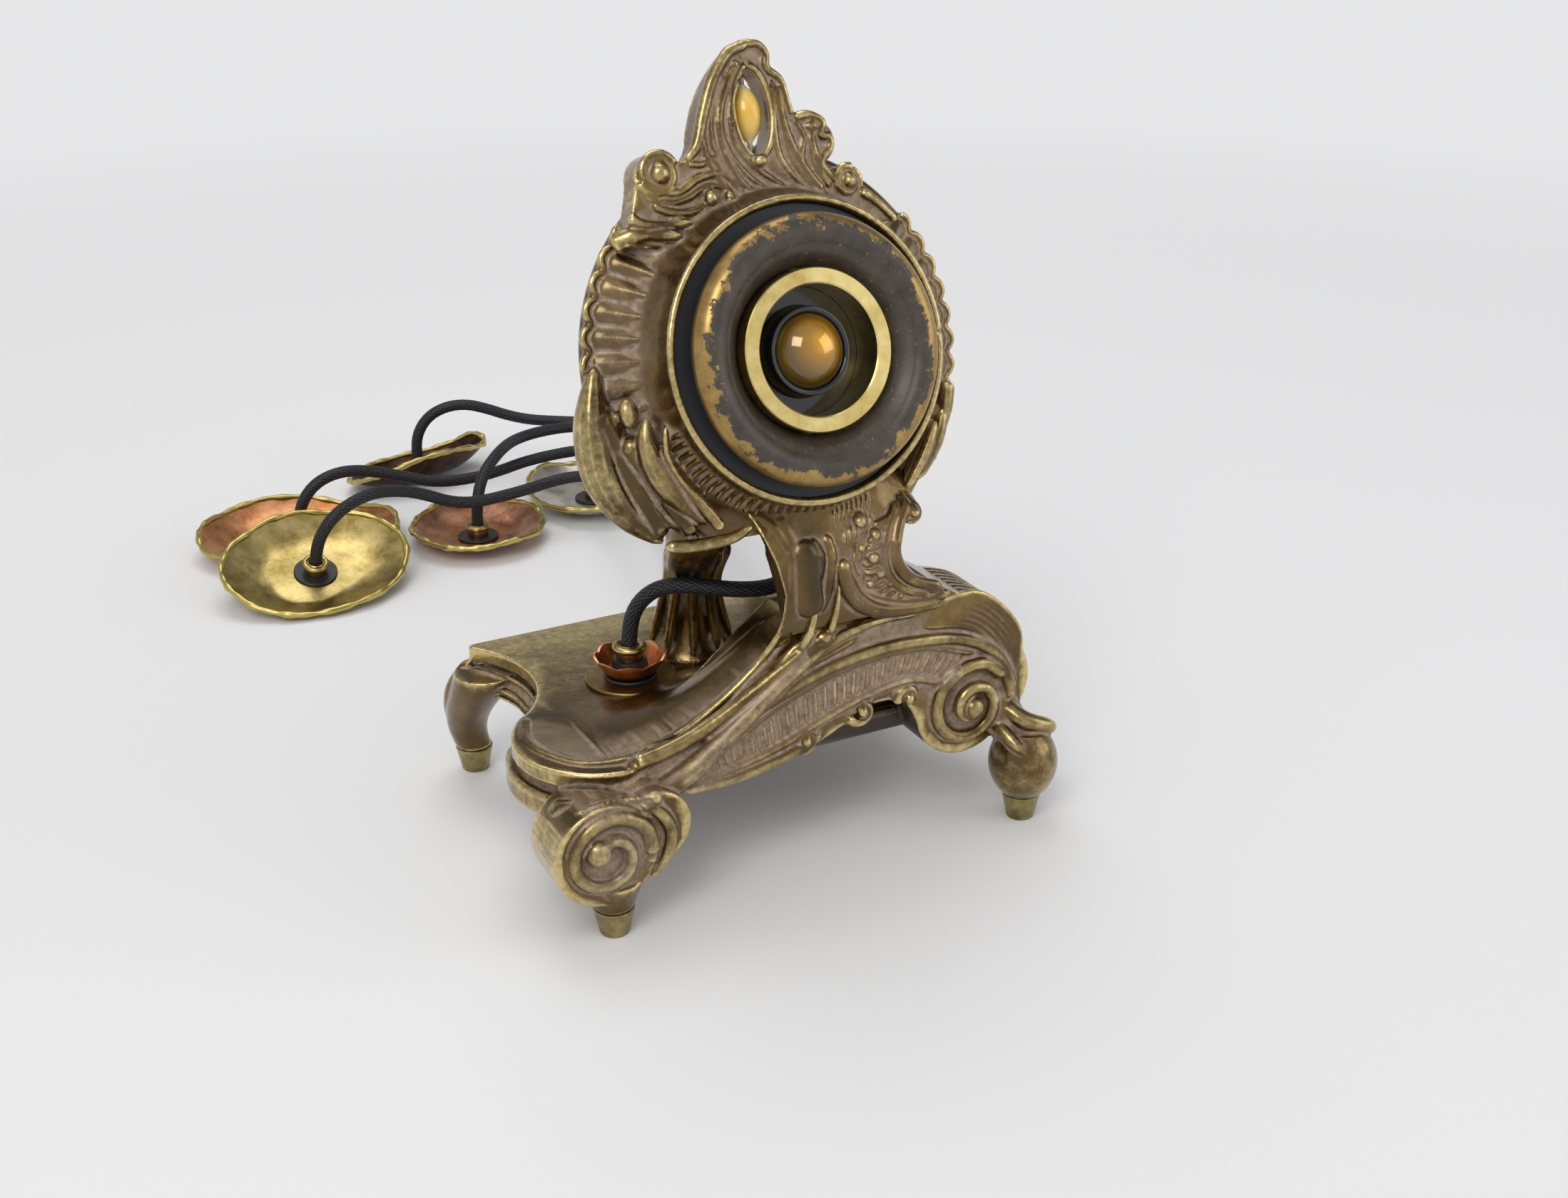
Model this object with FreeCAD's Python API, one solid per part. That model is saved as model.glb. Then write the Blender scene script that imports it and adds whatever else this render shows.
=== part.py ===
import FreeCAD, Part
import math
import os
from FreeCAD import Matrix, Placement, Rotation, Vector

# A cast rococo clock case on four ferruled feet. A glass eye fills its dial opening, a bead turns on a
# pin in the window of its crest, and braided cords run from its back to hammered metal dishes.
# Millimetres. +Z is up, the dial faces -Y, and X = 0 is the middle of the dial.

# Dial and head
lean_deg = 17.0
eye_height = 168.4
eye_forward = 49.5
rim_bore = 42.2
rim_width = 2.4
rim_front = 6.5
edge_radius = 58.0
edge_depth = 28.0
edge_bead = 3.2
head_back = 42.0
head_cavity = 38.0
head_flat = 52.0
cover_radius = 46.0
cover_thickness = 3.0
slip = 0.1
rib_count = 9
rib_pitch_deg = 7.6
rib_root = 1.5
rib_tip = 3.6

# Eye
lip_radius = 39.1
lip_tube = 5.0
lip_depth = 1.5
backing_front = 8.0
backing_thickness = 3.0
backing_bore = 28.0
eyepiece_outer = 23.6
eyepiece_inner = 18.9
eyepiece_length = 27.0
funnel_depth = 6.0
retainer_outer = 12.9
retainer_front = 5.5
retainer_lip = 1.0
retainer_floor = 13.0
retainer_plate = 2.0
pupil_bore = 10.9
ball_radius = 12.0

# Crest
crest_front = 20.0
crest_thickness = 9.0
window_x = -1.0
window_z = 69.6
window_half_width = 5.6
window_half_height = 12.4
bead_length = 20.5
bead_radius = 4.5
bead_end_radius = 2.7
pin_radius = 0.7
pin_embed = 4.0
bead_clearance = 0.08

# Base
platform_top = 51.0
plate_thickness = 5.0
cove_height = 3.0
roll_height = 8.0
cove_depth = 2.5
roll_proud = 2.0
roll_round = 2.0
wall_width = 13.0
foot_x = 73.2
foot_front = 57.0
foot_back = 59.0
ferrule_height = 9.0
ferrule_top_radius = 6.35
ferrule_bottom_radius = 4.6
ferrule_floor = 2.0
tenon_radius = 3.9
apron_front = 52.0
apron_back = 24.0
bracket_front = 53.0
bracket_back = 28.0
screw_head_radius = 4.0
screw_head_height = 2.4
screw_radius = 1.9
screw_length = 14.0

# Cord socket on the platform, and the eyelets
cord_diameter = 5.2
socket_x = -40.0
socket_y = 2.7
disc_radius = 14.6
disc_thickness = 1.2
ring_radius = 8.6
ring_thickness = 0.8
cup_radius = 12.0
cup_foot_radius = 7.4
cup_height = 7.0
cup_wall = 0.9
bush_radius = 6.2
bush_height = 4.2
eyelet_bore = 1.6
eyelet_barrel = 4.4
eyelet_lip = 1.2
eyelet_height = 5.2
eyelet_socket = 3.0
eyelet_flange = 0.8
stem_radius = 3.2
nut_radius = 6.5
nut_thickness = 2.2

# Dishes: centre x, y, height of the bowl's underside, half length, half width, turn, tilt about x, tilt about y
dish_wall = 0.9
dish_rim = 1.5
dish_depth = 7.0
dish_floor_share = 0.45
dish_hole = 3.4
washer_radius = 9.0
washer_thickness = 1.0
dishes = {
    "brass": (-82.0, 238.0, 6.5, 41.0, 33.0, 8.0, 20.0, 0.0),
    "large_copper": (-76.0, 285.0, 0.8, 45.0, 34.0, -6.0, 0.0, 0.0),
    "copper": (-3.5, 257.0, 0.8, 31.5, 31.5, 0.0, 0.0, 0.0),
    "silver": (61.0, 277.0, 0.8, 32.0, 38.0, 0.0, 0.0, 0.0),
    "dark_leaf": (-2.0, 342.0, 2.35, 38.0, 21.4, 12.0, -12.0, -4.0),
}

# Rear bushings: angle round the cover for each cord, on one pitch circle
bushing_pitch = 26.0
bushing_angles = {
    "dark_leaf": 6.0,
    "copper": 318.0,
    "large_copper": 222.0,
    "brass": 174.0,
    "silver": 90.0,
    "base": 270.0,
}
bushing_radius = 5.0
bushing_flange = 7.0
bushing_flange_height = 2.0
bushing_tail = 5.0

# Free routes of the cords between their straight ends, and the length of the runs that follow them
routes = {
    "dark_leaf": [(48, 70, 114), (76, 140, 66), (96, 212, 37), (101, 266, 28), (81, 312, 25), (48, 330, 27)],
    "copper": [(42, 70, 90), (66, 140, 50), (84, 208, 31), (88, 264, 29), (67, 298, 30), (34, 293, 32)],
    "large_copper": [(10, 70, 84), (42, 140, 42), (70, 210, 25), (79, 256, 23), (66, 287, 22), (36, 290, 21),
                     (10, 283, 20), (-14, 283, 21), (-36, 287, 28)],
    "brass": [(4, 70, 104), (32, 140, 58), (51, 196, 36), (54, 229, 29), (39, 250, 25), (12, 250, 22),
              (-14, 247, 23), (-36, 245, 33)],
    "silver": [(18, 70, 126), (38, 140, 78), (52, 210, 50)],
}
base_route = [(-38.2, 0.9, 76.7), (-33.9, -3.0, 82.9), (-25.9, -11.9, 86.4), (-14.3, -17.9, 84.6), (1, -18, 82.5),
              (14, -8, 82.3), (18.5, 7, 85), (16, 20, 94), (12, 23.5, 106), (7, 19, 119), (3, 8, 126.5)]
cord_run = 10.0
end_run = 7.0
entry_bend = 20.0

cord_radius = cord_diameter / 2
cord_slip = 0.05
lean = math.radians(lean_deg)
rim_outer = rim_bore + rim_width
seat_depth = backing_front + backing_thickness
head_placement = Placement(Vector(0, -eye_forward, eye_height), Rotation(Vector(1, 0, 0), -lean_deg))
head_axis = head_placement.Rotation.multVec(Vector(0, 1, 0))


def outline(start, *steps):
    """A closed wire: a plain point is a line to it, a pair is an arc through the first to the second."""
    edges = []
    here = Vector(*start)
    for step in list(steps) + [start]:
        if isinstance(step[0], tuple):
            middle, end = Vector(*step[0]), Vector(*step[1])
            edges.append(Part.Arc(here, middle, end).toShape())
        else:
            end = Vector(*step)
            if here.distanceToPoint(end) < 1e-6:
                continue
            edges.append(Part.LineSegment(here, end).toShape())
        here = end
    return Part.Wire(edges)


def turned(*steps):
    """A solid turned about the dial axis from a profile of (radius, depth) points."""
    flat = []
    for step in steps:
        if isinstance(step[0], tuple):
            flat.append(tuple((r, d, 0) for r, d in step))
        else:
            flat.append((step[0], step[1], 0))
    face = Part.Face(outline(*flat))
    return face.revolve(Vector(0, 0, 0), Vector(0, 1, 0), 360)


def turned_up(*steps):
    """A solid turned about Z from a profile of (radius, height) points."""
    solid = turned(*steps)
    solid.rotate(Vector(0, 0, 0), Vector(1, 0, 0), 90)
    return solid


def on_head(shape):
    """Sets a piece, drawn upright with its depth along +Y, on the leaning head."""
    moved = shape.copy()
    moved.Placement = head_placement.multiply(moved.Placement)
    return moved


def face_slab(points, front, back):
    """A plate in the upright XZ plane, from front to back along Y."""
    flat = []
    for step in points:
        if isinstance(step[0], tuple):
            flat.append(tuple((x, front, z) for x, z in step))
        else:
            flat.append((step[0], front, step[1]))
    return Part.Face(outline(*flat)).extrude(Vector(0, back - front, 0))


def lobe(start, end, start_radius, end_radius):
    """A tapered round lobe with domed ends."""
    a, b = Vector(*start), Vector(*end)
    solid = Part.makeSphere(end_radius, b)
    solid = solid.fuse(Part.makeSphere(start_radius, a))
    span = b.sub(a)
    if abs(start_radius - end_radius) < 1e-6:
        body = Part.makeCylinder(start_radius, span.Length, a, span)
    else:
        body = Part.makeCone(start_radius, end_radius, span.Length, a, span)
    return solid.fuse(body)


def bar(points, radius):
    """A round moulding along a smooth curve through the points."""
    spots = [Vector(*p) for p in points]
    curve = Part.BSplineCurve()
    curve.interpolate(spots)
    edge = curve.toShape()
    ring = Part.Wire(Part.makeCircle(radius, spots[0], edge.tangentAt(edge.FirstParameter)))
    return Part.Wire(edge).makePipeShell([ring], True, False)


def spiral(centre, outer, inner, turns, radius, start_deg, y):
    """A scroll that winds in, drawn in the plane of the front at depth y."""
    steps = int(round(turns * 6))
    points = []
    for step in range(steps + 1):
        reach = outer + (inner - outer) * step / steps
        angle = math.radians(start_deg + 60 * step)
        points.append((centre[0] + reach * math.cos(angle), y, centre[1] + reach * math.sin(angle)))
    return bar(points, radius)


def fused(solids):
    """One clean solid from many."""
    whole = solids[0].multiFuse(solids[1:])
    whole = whole.removeSplitter()
    return max(whole.Solids, key=lambda solid: solid.Volume)


def head_envelope():
    """The outside of the turned head, without its cavity."""
    return turned((0, rim_front), (rim_outer, rim_front), (rim_outer, rim_front + 2),
                  ((rim_outer + 3.5, 19.5), (edge_radius, edge_depth)),
                  ((edge_radius + edge_bead, edge_depth + edge_bead), (edge_radius, edge_depth + 2 * edge_bead)),
                  (cover_radius + 6, head_back), (0, head_back))


def crest_plate():
    """The flame of the crest, with its scrolled shoulders and its window."""
    back = crest_front + crest_thickness
    plate = face_slab([(-46, 36), ((-42.5, 46), (-40.5, 53)), ((-37, 60), (-31, 60.6)), ((-27, 58), (-24, 57.6)),
                       ((-21.5, 60), (-20, 64)), ((-14.5, 77), (-5, 87.5)), ((1.5, 90), (5.4, 85)), (5.8, 81),
                       ((10, 78), (11, 72)), (11.4, 67.6), ((18, 68.6), (22.4, 64.4)), ((24.6, 60), (21.6, 54)),
                       ((19.4, 50), (23, 48.6)), ((30, 51.4), (31.6, 44)), (42, 34), (0, 28)], crest_front, back)
    window = Part.Ellipse(Vector(window_x, crest_front, window_z + window_half_height),
                          Vector(window_x + window_half_width, crest_front, window_z),
                          Vector(window_x, crest_front, window_z)).toShape()
    hole = Part.Face(Part.Wire(window)).extrude(Vector(0, crest_thickness, 0))
    return plate.cut(hole)


def pin_place():
    """Centre line of the bead's pin: its low end and its length."""
    reach = window_half_height + pin_embed
    return Vector(window_x, crest_front + crest_thickness / 2, window_z - reach), 2 * reach


def case_head():
    shell = head_envelope()
    hollow = turned((0, head_back), (cover_radius, head_back), (cover_radius, head_back - cover_thickness),
                    (head_cavity, head_back - cover_thickness), (head_cavity, seat_depth), (rim_bore, seat_depth),
                    (rim_bore, rim_front), (0, rim_front))
    pieces = [shell, crest_plate()]
    for side, first in ((1, -26.0), (-1, 206.0)):
        for index in range(rib_count):
            angle = math.radians(first + side * index * rib_pitch_deg)
            root = rim_outer + 3.0
            tip = edge_radius - 0.6
            start = (root * math.cos(angle), 20.5, root * math.sin(angle))
            end = (tip * math.cos(angle), edge_depth + edge_bead, tip * math.sin(angle))
            pieces.append(lobe(start, end, rib_root, rib_tip))
    pieces.append(lobe((-59, 28, -12), (-46, 28, -44), 5.6, 3.6))
    pieces.append(lobe((-52, 24, -20), (-38, 24, -46), 3.6, 2.6))
    pieces.append(lobe((-45, 19, -24), (-30, 20.5, -46), 2.6, 2.0))
    pieces.append(lobe((50, 27, -26), (49, 28, -39), 4.4, 1.2))
    pieces.append(lobe((46, 24, -30), (35, 26, -47), 4.6, 3.4))
    pieces.append(spiral((-33.5, 55), 6.0, 2.4, 1.0, 1.5, 200, crest_front))
    pieces.append(Part.makeSphere(2.4, Vector(-33, crest_front, 55)))
    pieces.append(Part.makeSphere(2.6, Vector(27, crest_front, 47.5)))
    for x_low, x_top, z_top in ((-18, -9, 80), (-12, -4, 84), (10, 8, 76), (17, 18, 66)):
        pieces.append(bar([(x_low + 8, crest_front, 46), (x_low, crest_front, 60), (x_top, crest_front, z_top)], 1.2))
    whole = fused(pieces).cut(hollow)
    pin_base, pin_length = pin_place()
    whole = whole.cut(Part.makeCylinder(pin_radius, pin_length, pin_base, Vector(0, 0, 1)))
    whole = whole.cut(Part.makeBox(200, 80, 60, Vector(-100, -10, -head_flat - 60)))
    return on_head(whole)


def platform_wire(grow, height):
    """The plan of the base, drawn out or in by grow."""
    wire = outline((-78, 48, height), ((-77.6, 50.4, height), (-75, 51, height)), (75, 51, height),
                   ((77.6, 50.4, height), (78, 48, height)), ((67.5, 20, height), (80, -6, height)),
                   ((82, -30, height), (62, -40, height)), (-40, -40, height),
                   ((-52, -50, height), (-66, -54, height)), ((-88, -38, height), (-80, -6, height)),
                   ((-67.5, 20, height), (-78, 48, height)))
    if grow:
        wire = wire.makeOffset2D(grow)
    return Part.Face(wire)


def rear_leg(side):
    """A cabriole leg that kicks back and stands on its tenon."""
    stations = [(75, 43, platform_top - plate_thickness - 2, 10.5), (77, 50, 32, 9.0),
                (78, 57, 20, 7.0), (foot_x + 2.4, foot_back, ferrule_height, ferrule_top_radius - 0.3)]
    rings = [Part.Wire(Part.makeCircle(r, Vector(side * x, y, z), Vector(0, 0, 1))) for x, y, z, r in stations]
    leg = Part.makeLoft(rings, True)
    return leg.fuse(tenon(side * (foot_x + 2.4), foot_back))


def tenon(x, y):
    return Part.makeCylinder(tenon_radius, ferrule_height - ferrule_floor + 1, Vector(x, y, ferrule_floor))


def scroll_leg():
    """The front left foot: a C-scroll with a bead in its eye."""
    x, y = -foot_x, -foot_front
    drum = Part.makeCylinder(16.4, 20, Vector(x - 4, y - 7, 30.5), Vector(0, 1, 0))
    hip = Part.makeCylinder(12.0, 17, Vector(x + 12, y - 5, 34.5), Vector(0, 1, 0))
    neck = lobe((x - 2.3, y + 4.7, 36.7), (x + 11.1, y + 5.9, 39.3), 8.3, 9.1)
    stub = Part.makeCone(ferrule_top_radius - 0.3, 9.4, 10, Vector(x, y, ferrule_height))
    ridge = spiral((x - 4, 30.5), 14.0, 5.0, 1.5, 1.7, -20, y - 7)
    bead = Part.makeSphere(4.2, Vector(x - 7, y - 7, 33))
    return [drum, hip, neck, stub, ridge, bead, tenon(x, y)]


def bulb_leg():
    """The front right foot: a leaf-wrapped bulb on a short neck."""
    x, y = foot_x, -foot_front
    bulb = turned_up((0, ferrule_height), (ferrule_top_radius - 0.3, ferrule_height), ((11.4, 21), (6.5, 32)), (0, 33))
    bulb.translate(Vector(x, y, 0))
    neck = lobe((x - 1, y + 3, 29), (x - 8, y + 12, 42), 6.6, 8.0)
    return [bulb, neck, tenon(x, y)]


def apron():
    """The front scroll: low on the left, rising over an arch to the volute on the right."""
    front, back = -apron_front, -apron_back
    panel = face_slab([(-66, 38), (-40, 37), ((-14, 39), (8, 47)), ((20, 52), (30, 50)), ((34, 44), (36, 38)),
                       ((50, 26.5), (66, 32)), ((76.5, 44), (72, 62)), ((64, 76), (52, 82)), (-4, 82),
                       ((-16, 73), (-28, 63)), ((-44, 54), (-66, 50))], front, back)
    low_ridge = bar([(-64, front, 45), (-42, front, 50), (-20, front, 61), (8, front, 69.5), (34, front, 70.5),
                     (58, front, 64), (70, front, 47)], 2.2)
    high_ridge = bar([(-62, front, 52), (-38, front, 58.5), (-18, front, 69), (0, front, 78.5)], 2.4)
    volute = spiral((54, 43.5), 15.5, 4.0, 1.5, 2.2, 0, front)
    knob = Part.makeSphere(4.4, Vector(54, front, 43.5))
    return [panel, low_ridge, high_ridge, volute, knob]


def screw_seats():
    """Where the base's screws hold the bracket and the struts."""
    return [(8, -40), (strut_feet["left"][0], strut_feet["left"][1]), (strut_feet["right"][0], strut_feet["right"][1])]


strut_tops = {"left": (-24, -18), "right": (42, -18)}
strut_feet = {"left": (-12, 17), "right": (36, 17)}
bracket_seat = 82.0


def case_base():
    top = platform_wire(0, platform_top - plate_thickness).extrude(Vector(0, 0, plate_thickness))
    cove_base = platform_top - plate_thickness - cove_height
    cove = platform_wire(-cove_depth, cove_base).extrude(Vector(0, 0, cove_height))
    roll_base = cove_base - roll_height
    roll = platform_wire(roll_proud, roll_base).extrude(Vector(0, 0, roll_height))
    edges = [edge for edge in roll.Edges if abs(edge.BoundBox.ZLength) < 1e-6]
    roll = roll.makeFillet(roll_round, edges)
    pieces = [top, cove, roll, rear_leg(-1), rear_leg(1)] + scroll_leg() + bulb_leg() + apron()
    whole = fused(pieces)
    pocket_height = cove_base + cove_height - roll_base
    pocket = platform_wire(-wall_width, roll_base).extrude(Vector(0, 0, pocket_height))
    keep = Part.makeBox(200, apron_front - apron_back, pocket_height, Vector(-100, -apron_front, roll_base))
    whole = whole.cut(pocket.cut(keep))
    whole = whole.cut(Part.makeCylinder(stem_radius + slip, platform_top, Vector(socket_x, socket_y, 0)))
    for x, y in screw_seats()[1:]:
        whole = whole.cut(Part.makeCylinder(screw_radius + slip, plate_thickness,
                                            Vector(x, y, platform_top - plate_thickness)))
    return whole


def head_cutter():
    """All that the head fills, to seat the bracket and the struts against its underside."""
    block = head_envelope().cut(Part.makeBox(200, 80, 60, Vector(-100, -10, -head_flat - 60)))
    return on_head(block)


def front_bracket(head):
    """The rocaille bracket under the dial, between the window on its left and the C-scroll on its right."""
    front, back = -bracket_front, -bracket_back
    solid = face_slab([(-10, bracket_seat), ((-13.5, 98), (-24, 128)), (34, 128), (33, 118), ((22.5, 105), (40, 89)),
                       (52, bracket_seat)], front, back)
    rail = bar([(31, front, 117), (23.5, front, 105), (28, front, 95), (41, front, 88)], 2.2)
    low_rail = bar([(6, front, 102), (12, front, 93), (24, front, 87), (42, front, 84.5)], 2.0)
    curl = Part.makeSphere(4.0, Vector(31, front + 2, 115))
    boss = lobe((-6, front, 108), (-5, front, 92), 4.0, 4.6)
    whole = fused([solid, rail, low_rail, curl, boss]).cut(head_cutter()).cut(head)
    whole = whole.cut(Part.makeBox(200, 80, 20, Vector(-100, -80, bracket_seat - 20)))
    return max(whole.Solids, key=lambda piece: piece.Volume)


def rear_strut(name):
    """A fluted strut that runs from under the head down and back to the platform."""
    top_x, top_y = strut_tops[name]
    foot_at_x, foot_at_y = strut_feet[name]
    middle_x = (top_x + 2 * foot_at_x) / 3
    rings = []
    for x, y, z, r in ((top_x, top_y, 118, 10.5), (top_x, top_y + 3, 100, 9.5), (middle_x, 7, 78, 8.4),
                       (foot_at_x, foot_at_y - 1, 60, 10.4), (foot_at_x, foot_at_y, platform_top, 14.5)):
        rings.append(Part.Wire(Part.makeCircle(r, Vector(x, y, z), Vector(0, 0, 1))))
    solid = Part.makeLoft(rings, True)
    solid = solid.cut(head_cutter())
    solid = max(solid.Solids, key=lambda piece: piece.Volume)
    pilot = Part.makeCylinder(screw_radius, screw_length - plate_thickness, Vector(foot_at_x, foot_at_y, platform_top))
    return solid.cut(pilot)


def base_screws():
    """Screws up through the platform into the struts' feet."""
    solids = []
    for x, y in screw_seats()[1:]:
        under = platform_top - plate_thickness
        head = Part.makeCylinder(screw_head_radius, screw_head_height, Vector(x, y, under - screw_head_height))
        shank = Part.makeCylinder(screw_radius, screw_length, Vector(x, y, under))
        solids.append(head.fuse(shank).removeSplitter())
    return Part.makeCompound(solids)


def ferrule(x, y):
    cup = Part.makeCone(ferrule_bottom_radius, ferrule_top_radius, ferrule_height)
    bore = Part.makeCylinder(tenon_radius + slip, ferrule_height, Vector(0, 0, ferrule_floor))
    solid = cup.cut(bore)
    solid.translate(Vector(x, y, 0))
    return solid


def backing_ring():
    back = backing_front + backing_thickness
    return on_head(turned((backing_bore, backing_front), (rim_bore - slip, backing_front), (rim_bore - slip, back),
                          (backing_bore, back)))


def bezel_ring():
    """The trumpet: a rolled lip and a funnel down to the eyepiece."""
    centre = lip_radius - lip_tube
    inner = eyepiece_outer + slip
    return on_head(turned((inner, funnel_depth), ((inner + 3.5, funnel_depth - 3), (centre, lip_depth - lip_tube)),
                          ((lip_radius, lip_depth), (centre + 2, backing_front)), (inner, backing_front)))


def eyepiece_tube():
    """The brass tube of the eye. A collar on it bears on the back of the backing ring."""
    back = seat_depth
    collar = backing_bore + 4
    return on_head(turned((eyepiece_inner, 0), (eyepiece_outer, 0), (eyepiece_outer, back), (collar, back),
                          (collar, back + 2), (eyepiece_outer, back + 2), (eyepiece_outer, eyepiece_length),
                          (eyepiece_inner, eyepiece_length)))


def eye_retainer():
    """The black ring that frames the ball, on its flange across the tube."""
    flange = eyepiece_inner - slip
    inside = retainer_front + retainer_lip
    back = retainer_floor + retainer_plate
    return on_head(turned((pupil_bore, retainer_front), (retainer_outer, retainer_front),
                          (retainer_outer, retainer_floor), (flange, retainer_floor), (flange, back),
                          (ball_radius + 0.3, back), (ball_radius + 0.3, ball_depth() - 2),
                          (pupil_bore, inside)))


def ball_depth():
    """Depth of the ball's centre, where it bears on the retainer's bore."""
    inside = retainer_front + retainer_lip
    return inside + math.sqrt(ball_radius ** 2 - pupil_bore ** 2) + cord_slip


def eye_ball():
    return on_head(Part.makeSphere(ball_radius, Vector(0, ball_depth(), 0)))


def eye_seat():
    """The disc behind the ball, with a round pocket for it."""
    front = retainer_floor + retainer_plate
    disc = turned((0, front), (eyepiece_inner - slip, front), (eyepiece_inner - slip, eyepiece_length),
                  (0, eyepiece_length))
    return on_head(disc.cut(Part.makeSphere(ball_radius + cord_slip, Vector(0, ball_depth(), 0))))


def bead_pin():
    base, length = pin_place()
    return on_head(Part.makeCylinder(pin_radius, length, base, Vector(0, 0, 1)))


def crest_bead():
    """The oblong bead, barrelled, on its pin."""
    half = bead_length / 2
    bore = pin_radius + bead_clearance
    bead = turned_up((bore, -half), (bead_end_radius, -half), ((bead_radius, 0), (bead_end_radius, half)), (bore, half))
    bead.translate(Vector(window_x, crest_front + crest_thickness / 2, window_z))
    return on_head(bead)


def bushing_spot(name):
    angle = math.radians(bushing_angles[name])
    return bushing_pitch * math.cos(angle), bushing_pitch * math.sin(angle)


def rear_cover():
    plate = turned((0, head_back - cover_thickness), (cover_radius - slip, head_back - cover_thickness),
                   (cover_radius - slip, head_back), (0, head_back))
    for name in bushing_angles:
        x, z = bushing_spot(name)
        plate = plate.cut(Part.makeCylinder(bushing_radius + slip, 60, Vector(x, 0, z), Vector(0, 1, 0)))
    for index in range(4):
        x, z = cover_screw_spot(index)
        plate = plate.cut(Part.makeCylinder(screw_radius + slip, 60, Vector(x, 0, z), Vector(0, 1, 0)))
    return on_head(plate)


def cover_screw_spot(index):
    pitch = (cover_radius + head_cavity) / 2
    angle = math.radians(45 + 90 * index)
    return pitch * math.cos(angle), pitch * math.sin(angle)


def cover_screws():
    solids = []
    for index in range(4):
        x, z = cover_screw_spot(index)
        head = Part.makeCylinder(screw_head_radius - 0.6, 1.6, Vector(x, head_back, z), Vector(0, 1, 0))
        shank = Part.makeCylinder(screw_radius, cover_thickness, Vector(x, head_back - cover_thickness, z),
                                  Vector(0, 1, 0))
        solids.append(head.fuse(shank).removeSplitter())
    return on_head(Part.makeCompound(solids))


def cord_bushings():
    """Flanged bushings in the rear cover, each with a blind socket for a cord."""
    solids = []
    outer = head_back + bushing_flange_height + bushing_tail
    for name in bushing_angles:
        x, z = bushing_spot(name)
        body = turned((eyelet_bore, head_back - cover_thickness), (bushing_radius, head_back - cover_thickness),
                      (bushing_radius, head_back), (bushing_flange, head_back),
                      (bushing_flange, head_back + bushing_flange_height),
                      (bushing_radius, head_back + bushing_flange_height), (cord_radius + 1.2, outer),
                      (cord_radius + cord_slip, outer), (cord_radius + cord_slip, outer - eyelet_socket),
                      (eyelet_bore, outer - eyelet_socket))
        body.translate(Vector(x, 0, z))
        solids.append(body)
    return on_head(Part.makeCompound(solids))


def bushing_exit(name):
    """Where a cord leaves its bushing: the floor of the socket, and the way out."""
    x, z = bushing_spot(name)
    depth = head_back + bushing_flange_height + bushing_tail - eyelet_socket + cord_slip
    return head_placement.multVec(Vector(x, depth, z)), head_axis


def eyelet(stem_length):
    """A brass eyelet: a barrel with a rolled lip above, a stem through what it holds, clinched below."""
    top = eyelet_height
    return turned_up((eyelet_bore, -stem_length - eyelet_flange), (stem_radius + 1.5, -stem_length - eyelet_flange),
                     (stem_radius + 1.5, -stem_length), (stem_radius, -stem_length), (stem_radius, 0),
                     (eyelet_barrel, 0), (eyelet_barrel, top - 2 * eyelet_lip),
                     ((eyelet_barrel + eyelet_lip, top - eyelet_lip), (eyelet_barrel - 0.4, top)),
                     (cord_radius + cord_slip, top), (cord_radius + cord_slip, top - eyelet_socket),
                     (eyelet_bore, top - eyelet_socket))


def socket_pieces():
    """The stack on the platform, from the plain disc up to the eyelet, with its nut below."""
    disc_top = disc_thickness
    ring_top = disc_top + ring_thickness
    bush_top = ring_top + cup_wall + bush_height
    hole = stem_radius + slip
    disc = turned_up((hole, 0), (disc_radius, 0), (disc_radius, disc_top), (hole, disc_top))
    ring = turned_up((hole, disc_top), (ring_radius, disc_top), (ring_radius, ring_top), (hole, ring_top))
    rim = ring_top + cup_height
    cup = turned_up((hole, ring_top), (cup_foot_radius, ring_top), ((cup_radius - 1.2, ring_top + 3), (cup_radius, rim)),
                    (cup_radius - cup_wall, rim),
                    ((cup_radius - 1.2 - cup_wall, ring_top + 3.6), (cup_foot_radius - cup_wall, ring_top + cup_wall)),
                    (hole, ring_top + cup_wall))
    bush = turned_up((hole, ring_top + cup_wall), (bush_radius, ring_top + cup_wall), (bush_radius - 0.8, bush_top),
                     (hole, bush_top))
    collar = eyelet(bush_top + plate_thickness + nut_thickness)
    collar.translate(Vector(0, 0, bush_top))
    nut_base = -plate_thickness - nut_thickness
    nut = Part.Face(Part.makePolygon([Vector(nut_radius * math.cos(math.radians(60 * i)),
                                             nut_radius * math.sin(math.radians(60 * i)), nut_base)
                                      for i in range(7)])).extrude(Vector(0, 0, nut_thickness))
    nut = nut.cut(Part.makeCylinder(hole, 40, Vector(0, 0, -20)))
    made = {"socket_disc": disc, "socket_ring": ring, "socket_cup": cup, "socket_bush": bush,
            "socket_eyelet": collar, "socket_nut": nut}
    for solid in made.values():
        solid.translate(Vector(socket_x, socket_y, platform_top))
    return made, Vector(socket_x, socket_y, platform_top + bush_top + eyelet_height - eyelet_socket + cord_slip)


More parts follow.
